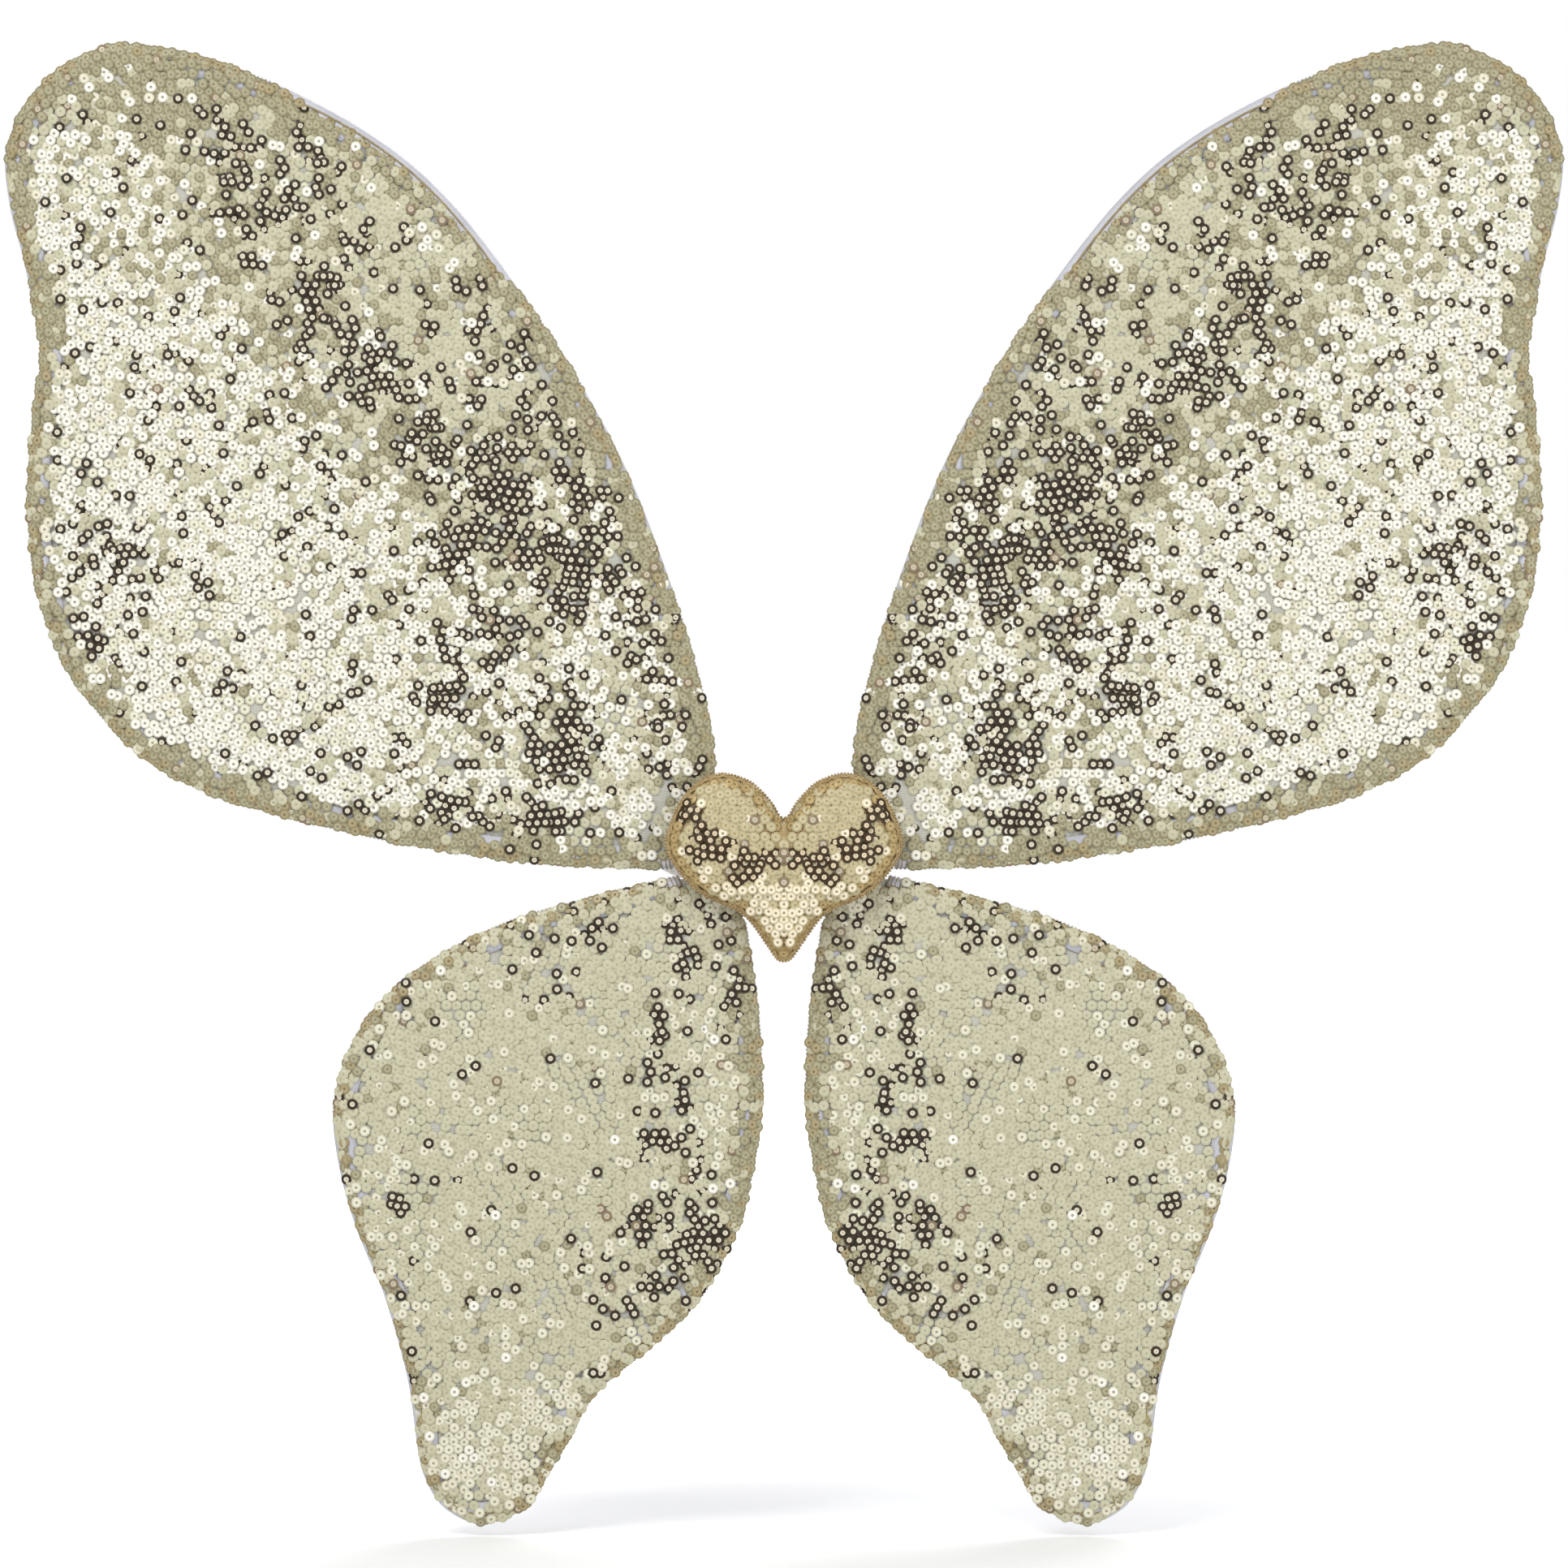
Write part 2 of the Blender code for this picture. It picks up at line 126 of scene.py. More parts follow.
class Shader:
    """A material with a Principled shader, and short ways to add nodes to it."""

    def __init__(self, name, colour, roughness, metallic=0.0, **inputs):
        self.material = bpy.data.materials.new(name)
        self.material.use_nodes = True
        self.tree = self.material.node_tree
        self.shader = self.tree.nodes["Principled BSDF"]
        self.set("Base Color", (*srgb(colour), 1.0))
        self.set("Roughness", roughness)
        self.set("Metallic", metallic)
        for key, value in inputs.items():
            self.set(key.replace("_", " "), value)

    def set(self, socket, value):
        self.shader.inputs[socket].default_value = value

    def link(self, output, socket):
        self.tree.links.new(output, self.shader.inputs[socket])

    def node(self, kind, settings=(), **inputs):
        made = self.tree.nodes.new(kind)
        for key, value in dict(settings).items():
            setattr(made, key, value)
        for key, value in inputs.items():
            socket = made.inputs[key.replace("_", " ")]
            if isinstance(value, bpy.types.NodeSocket):
                self.tree.links.new(value, socket)
            else:
                socket.default_value = value
        return made

    def place(self, stretch=(1, 1, 1)):
        """Object coordinates in millimetres, stretched."""
        coords = self.node("ShaderNodeTexCoord")
        mapping = self.node("ShaderNodeMapping", Vector=coords.outputs["Object"])
        mapping.inputs["Scale"].default_value = [s / MM for s in stretch]
        return mapping.outputs["Vector"]

    def noise(self, size, detail=2.0, where=None, rough=0.5):
        """Noise whose features are about size millimetres across."""
        made = self.node("ShaderNodeTexNoise", Vector=where or self.place())
        made.inputs["Scale"].default_value = 1.0 / size
        made.inputs["Detail"].default_value = detail
        made.inputs["Roughness"].default_value = rough
        return made.outputs["Fac"]

    def wave(self, size, axis, distort=0.0):
        """Even bands along an axis, about size millimetres apart."""
        made = self.node("ShaderNodeTexWave", {"bands_direction": axis}, Vector=self.place())
        made.inputs["Scale"].default_value = 0.314 / size
        made.inputs["Distortion"].default_value = distort
        return made.outputs["Fac"]

    def maths(self, operation, a, b):
        made = self.node("ShaderNodeMath", {"operation": operation})
        for socket, value in zip(made.inputs, (a, b)):
            if isinstance(value, bpy.types.NodeSocket):
                self.tree.links.new(value, socket)
            else:
                socket.default_value = value
        return made.outputs[0]

    def ramp(self, value, *stops):
        """Colours, in sRGB, at places along value."""
        made = self.node("ShaderNodeValToRGB", Fac=value)
        elements = made.color_ramp.elements
        while len(elements) < len(stops):
            elements.new(0.5)
        for element, (place, colour) in zip(elements, stops):
            element.position = place
            element.color = (*srgb(colour), 1.0)
        return made.outputs["Color"]

    def span(self, value, low, high):
        """value, from 0..1, mapped on to low..high."""
        made = self.node("ShaderNodeMapRange", Value=value)
        made.inputs["To Min"].default_value = low
        made.inputs["To Max"].default_value = high
        return made.outputs["Result"]

    def mixed(self, first, share, second, other_share):
        """A weighted sum of two patterns."""
        parts = [self.maths("MULTIPLY", *pair) for pair in ((first, share), (second, other_share))]
        return self.maths("ADD", *parts)

    def bump(self, height, depth, socket="Normal"):
        """Relief up to depth millimetres."""
        made = self.node("ShaderNodeBump", Height=height)
        made.inputs["Distance"].default_value = depth * MM
        self.link(made.outputs["Normal"], socket)


def srgb(colour):
    """Linear values of an sRGB colour given as 0..255."""
    shares = [c / 255 for c in colour]
    return tuple(s / 12.92 if s <= 0.04045 else ((s + 0.055) / 1.055) ** 2.4 for s in shares)


# ---------------------------------------------------------------- materials


def sequin_foil(name, colour, roughness, metallic, coat, tint):
    """Metallised film, whose clear face layer carries the drift in tone, the scuffs and the ripple."""
    s = Shader(name, colour, roughness, metallic, Coat_Weight=coat, Coat_IOR=1.45, Specular_IOR_Level=0.3)
    drift = s.noise(2.6, 1.0)
    s.link(s.ramp(drift, (0.30, tint), (0.62, (255, 255, 255))), "Coat Tint")
    s.link(s.span(s.noise(0.5, 3.0), 0.08, 0.42), "Coat Roughness")
    s.bump(s.noise(0.9, 2.0), 0.05, "Coat Normal")
    return s.material


def base_net():
    """Pale grey knitted net under the sequins, its colour darkened to a warm grey as painted shade of the
    sequins above it.
    """
    s = Shader("base_net", (188, 189, 184), 0.8, Sheen_Weight=0.1)
    knit = s.maths("MULTIPLY", s.wave(0.55, "X"), s.wave(0.7, "Z"))
    tone = s.mixed(knit, 0.6, s.noise(9.0, 3.0), 0.5)
    s.link(s.ramp(tone, (0.15, (176, 174, 162)), (0.75, (208, 206, 194))), "Base Color")
    s.link(s.span(s.noise(1.2), 0.55, 0.85), "Roughness")
    s.bump(knit, 0.12)
    return s.material


def satin():
    """Warp-faced lining: fine vertical floats with a soft sheen and a slight, slow change of shade."""
    s = Shader("lining_satin", (232, 231, 236), 0.42, Sheen_Weight=0.4)
    fibres = s.noise(0.35, 3.0, s.place((1.0, 1.0, 0.06)))
    cross = s.wave(0.42, "Z", 0.6)
    tone = s.mixed(fibres, 0.75, s.noise(40.0, 2.0), 0.25)
    shade = s.ramp(tone, (0.25, (206, 204, 214)), (0.5, (230, 229, 236)), (0.8, (243, 243, 247)))
    s.link(shade, "Base Color")
    s.link(s.span(s.noise(3.0, 2.0), 0.34, 0.5), "Roughness")
    s.bump(s.maths("ADD", fibres, s.maths("MULTIPLY", cross, 0.5)), 0.05)
    return s.material


def hem_cloth():
    """The lining's satin where it is folded over the edge: greyer, with a crease along the fold."""
    s = Shader("hem_satin", (172, 173, 184), 0.5, Sheen_Weight=0.1)
    fibres = s.noise(0.4, 3.0)
    tone = s.mixed(fibres, 0.5, s.noise(14.0, 2.0), 0.5)
    shade = s.ramp(tone, (0.3, (174, 174, 181)), (0.52, (194, 194, 200)), (0.75, (210, 210, 214)))
    s.link(shade, "Base Color")
    s.link(s.span(s.noise(2.0, 2.0), 0.36, 0.55), "Roughness")
    s.bump(fibres, 0.05)
    return s.material


def heart_cloth():
    """Golden brown woven cloth, mottled darker and lighter."""
    s = Shader("heart_cloth", (190, 168, 116), 0.55, 0.1, Sheen_Weight=0.2)
    weave = s.maths("ADD", s.wave(0.5, "X", 0.4), s.wave(0.5, "Z", 0.4))
    tone = s.mixed(weave, 0.2, s.noise(3.0, 4.0), 0.8)
    s.link(s.ramp(tone, (0.35, (142, 116, 68)), (0.6, (190, 166, 114)), (0.8, (212, 192, 144))), "Base Color")
    s.link(s.span(s.noise(1.5), 0.42, 0.7), "Roughness")
    s.bump(weave, 0.10)
    return s.material


def thread(name, dark, light):
    """Twisted sewing thread."""
    s = Shader(name, light, 0.5, 0.0, Sheen_Weight=0.3)
    ply = s.wave(0.22, "DIAGONAL", 1.0)
    tone = s.mixed(ply, 0.35, s.noise(2.2, 3.0), 0.65)
    s.link(s.ramp(tone, (0.25, dark), (0.7, light)), "Base Color")
    s.link(s.span(s.noise(0.8), 0.35, 0.65), "Roughness")
    s.bump(ply, 0.04)
    return s.material


def steel():
    """Drawn steel wire: fine scratches, faint tarnish."""
    s = Shader("drawn_steel", (176, 176, 178), 0.3, 1.0)
    scratches = s.noise(0.25, 4.0, s.place((1.0, 1.0, 0.15)))
    s.link(s.ramp(s.noise(6.0, 4.0), (0.3, (138, 134, 128)), (0.65, (188, 188, 190))), "Base Color")
    s.link(s.span(scratches, 0.18, 0.5), "Roughness")
    s.bump(scratches, 0.02)
    return s.material


def felt():
    """Pressed felt: matted fibres, slight fleck."""
    s = Shader("cream_felt", (232, 224, 200), 0.95, Sheen_Weight=0.6, Sheen_Roughness=0.6)
    fibres = s.noise(0.45, 6.0, s.place((1.0, 1.0, 0.7)), 0.7)
    mats = s.noise(2.5, 4.0)
    tone = s.mixed(fibres, 0.5, mats, 0.5)
    shade = s.ramp(tone, (0.35, (196, 184, 152)), (0.5, (226, 217, 192)), (0.68, (242, 236, 218)))
    s.link(shade, "Base Color")
    s.link(s.span(fibres, 0.85, 1.0), "Roughness")
    s.bump(s.maths("ADD", fibres, mats), 0.22)
    return s.material


def board():
    """Grey-brown fibre board with specks."""
    s = Shader("fibre_board", (158, 138, 108), 0.9)
    specks = s.noise(0.6, 5.0)
    shade = s.ramp(specks, (0.32, (112, 94, 70)), (0.5, (160, 140, 110)), (0.7, (188, 170, 140)))
    s.link(shade, "Base Color")
    s.link(s.span(s.noise(1.5), 0.8, 1.0), "Roughness")
    s.bump(specks, 0.08)
    return s.material


def elastic():
    """Woven elastic: the ribs are in the mesh, and the picks across them are here."""
    s = Shader("woven_elastic", (240, 236, 226), 0.75, Sheen_Weight=0.3)
    along = s.node("ShaderNodeAttribute", {"attribute_name": "along"}).outputs["Fac"]
    picks = s.maths("SINE", s.maths("MULTIPLY", along, 2 * math.pi / 0.8), 0.0)
    tone = s.maths("ADD", s.maths("MULTIPLY", picks, 0.10), s.noise(1.0, 2.0))
    s.link(s.ramp(tone, (0.25, (226, 221, 208)), (0.7, (242, 238, 229))), "Base Color")
    s.link(s.span(s.noise(1.0), 0.6, 0.9), "Roughness")
    s.bump(picks, 0.06)
    return s.material


def floor_paint():
    """Matt white that, to the camera, fades into the white backdrop with distance."""
    s = Shader("floor_paint", (246, 246, 246), 0.85, Emission_Color=(1, 1, 1, 1))
    s.link(s.ramp(s.noise(60.0, 4.0), (0.3, (244, 244, 244)), (0.7, (248, 248, 248))), "Base Color")
    s.link(s.span(s.noise(8.0), 0.8, 0.95), "Roughness")
    reach = s.node("ShaderNodeVectorMath", {"operation": "LENGTH"})
    s.tree.links.new(s.place(), reach.inputs[0])
    fade = s.node("ShaderNodeMapRange", Value=reach.outputs["Value"])
    fade.inputs["From Min"].default_value = 150.0
    fade.inputs["From Max"].default_value = 700.0
    seen = s.node("ShaderNodeLightPath").outputs["Is Camera Ray"]
    s.link(s.maths("MULTIPLY", fade.outputs["Result"], seen), "Emission Strength")
    return s.material


# Sequin tones: rim, middle and knot colours, the middle's radius, the share sewn over their neighbours,
# roughness, metallic share, and the clear layer's weight and tint. The sequins are one gold foil: cream and
# champagne are painted reflection of the light, and olive, copper and the dark tones are painted reflection
# of darker surroundings. The dark tones' pale middles and knots are a painted highlight in the cup, and the
# darker knots of the pale tones are painted shade in the hole. The heart's tones copy these.
PAINTED_CUP_HIGHLIGHT = (220, 212, 191)
TONES = {
    "cream": (
        (213, 209, 192), (239, 236, 226), (158, 152, 130), 1.18, 0.35, 0.42, 0.10, 0.22, (236, 232, 214)),
    "champagne": (
        (204, 200, 177), (226, 222, 200), (160, 154, 129), 1.12, 0.20, 0.44, 0.10, 0.20, (222, 217, 192)),
    "khaki": (
        (191, 187, 159), (196, 192, 165), (174, 170, 143), 1.00, 0.0, 0.50, 0.10, 0.15, (205, 200, 172)),
    "olive": (
        (148, 142, 111), (172, 166, 137), (140, 134, 104), 0.95, 0.0, 0.46, 0.15, 0.15, (180, 172, 138)),
    "bronze": ((50, 41, 26), PAINTED_CUP_HIGHLIGHT, (196, 187, 163), 0.74, 0.55, 0.40, 0.25, 0.10, (200, 186, 160)),
    "copper": (
        (134, 117, 93), (198, 189, 165), (178, 168, 144), 0.80, 0.20, 0.42, 0.15, 0.15, (205, 192, 165)),
    "gold": ((150, 136, 100), (168, 156, 120), (128, 112, 78), 1.00, 0.10, 0.44, 0.12, 0.20, (218, 206, 180)),
    "heart_cream": (
        (206, 194, 158), (238, 229, 206), (162, 146, 106), 1.10, 0.35, 0.42, 0.10, 0.22, (240, 228, 200)),
    "heart_khaki": (
        (182, 170, 131), (194, 183, 146), (164, 151, 111), 1.00, 0.0, 0.48, 0.15, 0.15, (208, 192, 152)),
    "umber": ((62, 46, 23), (224, 209, 178), (200, 182, 148), 0.72, 0.60, 0.40, 0.25, 0.10, (206, 184, 150)),
    "heart_gold": (
        (166, 143, 94), (184, 163, 115), (140, 115, 68), 1.00, 0.10, 0.42, 0.25, 0.20, (212, 188, 140)),
}
ON_HEART = {
    "cream": "heart_cream", "champagne": "heart_cream", "khaki": "heart_khaki", "olive": "heart_khaki",
    "bronze": "umber", "gold": "heart_gold", "copper": "copper",
}
foils = {}


def foil(tone):
    """The materials of a tone's rim, middle and knot."""
    if tone not in foils:
        rim, middle, knot, _, _, roughness, metallic, coat, tint = TONES[tone]
        foils[tone] = [
            sequin_foil(f"foil_{tone}_rim", rim, roughness, metallic, coat, tint),
            sequin_foil(f"foil_{tone}_middle", middle, roughness, metallic / 3, coat, tint),
            sequin_foil(f"knot_{tone}", knot, 0.7, 0.0, 0.05, tint),
        ]
    return foils[tone]


# ---------------------------------------------------------------- outlines from the frame


def merged(node):
    bm = bmesh.new()
    bm.from_mesh(NODES[node].data)
    bmesh.ops.remove_doubles(bm, verts=bm.verts, dist=1e-6)
    return bm


def chain(verts, edges):
    """Orders vertices joined by edges into one line, from an open end if there is one."""
    near = {v: [] for v in verts}
    for a, b in edges:
        near[a].append(b)
        near[b].append(a)
    ends = [v for v in verts if len(near[v]) == 1]
    line = [ends[0] if ends else verts[0]]
    seen = set(line)
    while True:
        ahead = [v for v in near[line[-1]] if v not in seen]
        if not ahead:
            return line
        line.append(ahead[0])
        seen.add(ahead[0])


def vertices(piece):
    return np.array([tuple(v.co) for v in piece.data.vertices])


def fold_joint(prefix):
    return next(j for j in frame["joints"] if j["child"] == f"{prefix}_wing")


def flat_outline(node, y):
    """The (u, z) line, in millimetres, of a node's vertices that lie at height y in the frame."""
    bm = merged(node)
    verts = [v for v in bm.verts if abs(v.co.y - y) < 0.02 * MM]
    wanted = set(verts)
    edges = [e.verts for e in bm.edges if e.verts[0] in wanted and e.verts[1] in wanted]
    line = [(v.co.x / MM, v.co.z / MM) for v in chain(verts, edges)]
    bm.free()
    return np.array(line)


def resample(line, step, closed=False):
    """Points step apart on a smooth curve through a line, measured on its first three columns at most."""
    knots = np.asarray(line, dtype=float)
    if closed:
        before, here = np.roll(knots, 1, axis=0), knots
        there, after = np.roll(knots, -1, axis=0), np.roll(knots, -2, axis=0)
    else:
        before, here = np.concatenate([knots[:1], knots[:-2]]), knots[:-1]
        there, after = knots[1:], np.concatenate([knots[2:], knots[-1:]])
    t = np.linspace(0, 1, 12, endpoint=False)[None, :, None]
    before, here, there, after = (k[:, None] for k in (before, here, there, after))
    square = (2 * before - 5 * here + 4 * there - after) * t**2
    cube = (3 * here - before - 3 * there + after) * t**3
    fine = (here + ((there - before) * t + square + cube) / 2).reshape(-1, knots.shape[1])
    fine = np.concatenate([fine, knots[:1] if closed else knots[-1:]])
    lengths = np.concatenate([[0.0], np.cumsum(np.linalg.norm(np.diff(fine[:, :3], axis=0), axis=1))])
    pieces = max(3, round(lengths[-1] / step))
    at = np.linspace(0.0, lengths[-1], pieces + 1)[: pieces if closed else pieces + 1]
    return np.stack([np.interp(at, lengths, column) for column in fine.T], axis=1)


def inward(line, closed=False):
    """Unit normals of a clockwise line, pointing inwards."""
    if closed:
        along = np.roll(line, -1, axis=0) - np.roll(line, 1, axis=0)
    else:
        along = np.gradient(line, axis=0)
    along /= np.linalg.norm(along, axis=1)[:, None]
    return np.stack([along[:, 1], -along[:, 0]], axis=1)


def clockwise(line):
    x, z = line[:, 0], line[:, 1]
    area = np.sum(x * np.roll(z, -1) - np.roll(x, -1) * z)
    return line if area < 0 else line[::-1]


def inside(points, loop):
    """Which points lie within a closed loop."""
    x, z = points[:, 0, None], points[:, 1, None]
    x0, z0 = loop[:, 0], loop[:, 1]
    x1, z1 = np.roll(x0, -1), np.roll(z0, -1)
    spans = (z0 > z) != (z1 > z)
    height = np.where(z1 == z0, 1e-9, z1 - z0)
    return (spans & (x < x0 + (z - z0) / height * (x1 - x0))).sum(axis=1) % 2 == 1


def signed_distance(points, line):
    """Distance from each point to an open line, positive on the line's left."""
    start, along = line[:-1], np.diff(line, axis=0)
    offset = points[:, None, :] - start[None]
    share = np.clip((offset * along).sum(2) / (along**2).sum(1), 0, 1)
    size = np.linalg.norm(offset - share[..., None] * along, axis=2)
    turn = along[:, 0] * offset[..., 1] - along[:, 1] * offset[..., 0]
    nearest = (np.arange(len(points)), size.argmin(axis=1))
    return size[nearest] * np.sign(turn[nearest])


def distance(points, line):
    return np.abs(signed_distance(points, line))


def filled(loop, spacing):
    """Points over a loop, the loop's own first, and the triangles between them."""
    low, high = loop.min(axis=0), loop.max(axis=0)
    row = spacing * math.sqrt(3) / 2
    grid = []
    for j in range(int((high[1] - low[1]) / row) + 1):
        start = low[0] + spacing / 2 * (j % 2)
        grid += [(x, low[1] + j * row) for x in np.arange(start, high[0], spacing)]
    grid = np.array(grid)
    grid = grid[inside(grid, loop)]
    grid = grid[distance(grid, np.concatenate([loop, loop[:1]])) > 0.45 * spacing]
    flat = [Vector(p) for p in np.concatenate([loop, grid])]
    count = len(loop)
    edges = [(i, (i + 1) % count) for i in range(count)]
    points, _, triangles, *_ = delaunay_2d_cdt(flat, edges, [list(range(count))], 1, 1e-6)
    return np.array([tuple(p) for p in points]), [tuple(t) for t in triangles]


# ---------------------------------------------------------------- mesh helpers


def mesh_piece(name, verts, faces, materials, body, smooth=True, face_slots=None):
    """A piece from vertices in millimetres, riding on a body."""
    mesh = bpy.data.meshes.new(name)
    mesh.from_pydata(np.asarray(verts, dtype=float) * MM, [], faces)
    for material in materials:
        mesh.materials.append(material)
    if face_slots is not None:
        mesh.polygons.foreach_set("material_index", np.asarray(face_slots, dtype=np.int32))
    if smooth:
        mesh.shade_smooth()
    mesh.update()
    piece = bpy.data.objects.new(name, mesh)
    bpy.context.scene.collection.objects.link(piece)
    if body:
        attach(piece, body)
    return piece


def closed_piece(name, verts, faces, material, body, slot=None):
    """A piece whose faces are turned to point out of it."""
    piece = mesh_piece(name, verts, faces, [material], body)
    bm = bmesh.new()
    bm.from_mesh(piece.data)
    bmesh.ops.recalc_face_normals(bm, faces=bm.faces)
    bm.to_mesh(piece.data)
    bm.free()
    return piece


def band(here, there, count):
    """Quads between two closed rings of count points, which start at here and there."""
    return [(here + i, here + (i + 1) % count, there + (i + 1) % count, there + i) for i in range(count)]


def tube_faces(rings, around, closed=False, offset=0):
    """Quads that skin rings of around points, with caps on an open tube."""
    faces = []
    for i in range(rings if closed else rings - 1):
        faces += band(offset + i * around, offset + (i + 1) % rings * around, around)
    if not closed:
        faces.append(tuple(offset + j for j in range(around)))
        faces.append(tuple(offset + (rings - 1) * around + j for j in reversed(range(around))))
    return faces


def strand(path, radius, around=4):
    """Vertices and faces of a thread along a 3D path."""
    path = np.asarray(path, dtype=float)
    along = np.gradient(path, axis=0)
    along /= np.linalg.norm(along, axis=1)[:, None] + 1e-12
    side = np.cross(along, (0.31, 0.87, 0.39))
    side /= np.linalg.norm(side, axis=1)[:, None] + 1e-12
    other = np.cross(along, side)
    angles = np.arange(around) * 2 * math.pi / around
    ring = np.cos(angles)[None, :, None] * side[:, None] + np.sin(angles)[None, :, None] * other[:, None]
    verts = (path[:, None] + radius * ring).reshape(-1, 3)
    return verts, tube_faces(len(path), around)


def placed(flat, depth, side=1.0):
    """Flat points (u, z) at depth y, as points of the object."""
    return np.stack([side * flat[:, 0], depth, flat[:, 1]], axis=1)


def joined(parts):
    """Puts (verts, faces) pairs into one pair."""
    verts, faces, count = [], [], 0
    for part_verts, part_faces in parts:
        verts.append(part_verts)
        faces += [tuple(i + count for i in face) for face in part_faces]
        count += len(part_verts)
    return np.concatenate(verts), faces


# ---------------------------------------------------------------- sequins


def sequin_template(middle_r):
    """One sequin: points (across, across, up), its quads, and the material slot of each."""
    rings = (
        (KNOT_R, SEQUIN_RISE - KNOT_DEPTH), (SEQUIN_HOLE_R, SEQUIN_RISE),
        (middle_r, SEQUIN_RISE), (SEQUIN_R, 0.0),
    )
    angles = np.arange(SEQUIN_SIDES) * 2 * math.pi / SEQUIN_SIDES
    points = np.array([(r * math.cos(a), r * math.sin(a), h) for r, h in rings for a in angles])
    fan = [(0, k, k + 1, k + 2) for k in range(1, SEQUIN_SIDES - 2, 2)]
    quads, slots = list(fan), [2] * len(fan)
    for k, slot in enumerate((2, 1, 0)):
        for j in range(SEQUIN_SIDES):
            here, turn = k * SEQUIN_SIDES, (j + 1) % SEQUIN_SIDES
            quads.append((here + j, here + SEQUIN_SIDES + j, here + SEQUIN_SIDES + turn, here + turn))
            slots.append(slot)
    under = 3 * SEQUIN_SIDES
    quads += [tuple(under + i for i in reversed(quad)) for quad in fan]
    return points, np.array(quads), np.array(slots + [0] * len(fan), dtype=np.int32)


def sequin_piece(name, centres, normals, spins, tone, body):
    """Sequins at centres, facing along normals, as one piece."""
    points, quads, slots = sequin_template(TONES[tone][3])
    spins = spins[:, None]
    reference = np.tile((0.0, 0.0, 1.0), (len(normals), 1))
    side = np.cross(reference, normals)
    side /= np.linalg.norm(side, axis=1)[:, None]
    other = np.cross(normals, side)
    first = np.cos(spins) * side + np.sin(spins) * other
    second = np.cross(normals, first)
    axes = np.stack([first, second, normals], axis=1)
    verts = (centres[:, None] + np.einsum("pk,nkc->npc", points, axes)).reshape(-1, 3)
    shifts = np.arange(len(centres)) * len(points)
    faces = (quads[None] + shifts[:, None, None]).reshape(-1, 4)
    piece = mesh_piece(
        name, verts, faces, foil(tone), body, smooth=False, face_slots=np.tile(slots, len(centres)))


def build_sequins(prefix, tones, centres, normals, spins, body):
    """One piece for each tone in use."""
    for tone in TONES:
        chosen = tones == tone
        if chosen.any():
            name = f"{prefix}_sequins_{tone.removeprefix('heart_')}"
            sequin_piece(name, centres[chosen], normals[chosen], spins[chosen], tone, body)


def layered(layers, tones, rng, calm=0.0):
    """How far sequins stand off the cloth, so that neighbours lie over one another without cutting."""
    raised = (rng.random(len(tones)) < np.array([TONES[tone][4] for tone in tones])) * (1 - calm)
    return LAYER_H * (layers + RAISED_LAYERS * raised)


def clump(points, size, seed):
    """Smooth noise from 0 to 1 at each point, with blobs about size across."""
    values = [noise.noise(Vector((u / size, z / size, seed))) for u, z in points]
    return np.clip(0.5 + 0.9 * np.array(values), 0, 1)


def near(points, line, width):
    """1 on a line, falling smoothly to 0 about two widths away."""
    return np.exp(-((distance(points, line) / width) ** 2))


def blob(points, centre, radii):
    return np.exp(-(((points - np.array(centre)) / np.array(radii)) ** 2).sum(axis=1))


def step(value, low, high):
    share = np.clip((value - low) / (high - low), 0, 1)
    return share * share * (3 - 2 * share)


# Where the foil mirrors something dark: the middle (u, z), half-widths, and the share of dark sequins there.
UPPER_DARK = (
    ((130, 163), (7, 10), 0.75), ((115, 140), (11, 8), 0.80), ((99, 119), (9, 10), 0.55),
    ((80, 104), (10, 14), 0.95), ((60, 88), (9, 12), 0.85), ((93, 88), (8, 6), 0.50),
    ((80, 65), (10, 11), 0.65), ((96, 50), (8, 5), 0.60), ((63, 39), (9, 12), 0.75),
    ((69, 14), (12, 7), 0.80), ((94, 17), (7, 7), 0.60), ((124, 18), (8, 4), 0.55),
    ((190, 88), (9, 9), 0.75), ((193, 66), (7, 8), 0.45), ((156, 205), (12, 9), 0.45),
    ((134, 200), (6, 12), 0.40), ((145, 184), (11, 6), 0.50),
)
LOWER_DARK = (
    ((27, -19), (6, 9), 0.90), ((35, -42), (2.8, 9), 0.85), ((32, -56), (5, 5), 0.80),
    ((27, -65), (6, 2.5), 0.70), ((36, -74), (6, 5), 0.80), ((25, -83), (5, 4), 0.60),
    ((24, -103), (9, 10), 0.75), ((41, -101), (5, 6), 0.65), ((32, -113), (5, 4), 0.65),
    ((45, -119), (6, 6), 0.45), ((13, -30), (2.5, 12), 0.75), ((60, -17), (10, 4), 0.60),
    ((62, -30), (7, 5), 0.40), ((109, -92), (3, 2.5), 0.80),
)
UPPER_BAND = np.array((
    (176, 222), (174, 198), (160, 180), (146, 156), (128, 132), (108, 112), (86, 94), (68, 76), (71, 50),
    (67, 25), (78, 6)))
UPPER_STRIP = np.array(((81, 162), (70, 140), (60, 114), (45, 86), (36, 60), (27, 36)))
LOWER_STRIP = np.array(((12, -24), (9, -45), (9, -72), (15, -98), (30, -120)))
HEART_BAND = np.array(((26, 17), (22, 12), (19, 7), (13.5, 7.5), (11, 3), (8, 1.5), (5, 5), (0, 3.5)))
HEART_DARK = (((24.5, 6.5), (2.6, 1.8), 0.8), ((18.5, 3.5), (2.6, 2.2), 0.9), ((12.8, -1.5), (2.0, 1.8), 0.9))
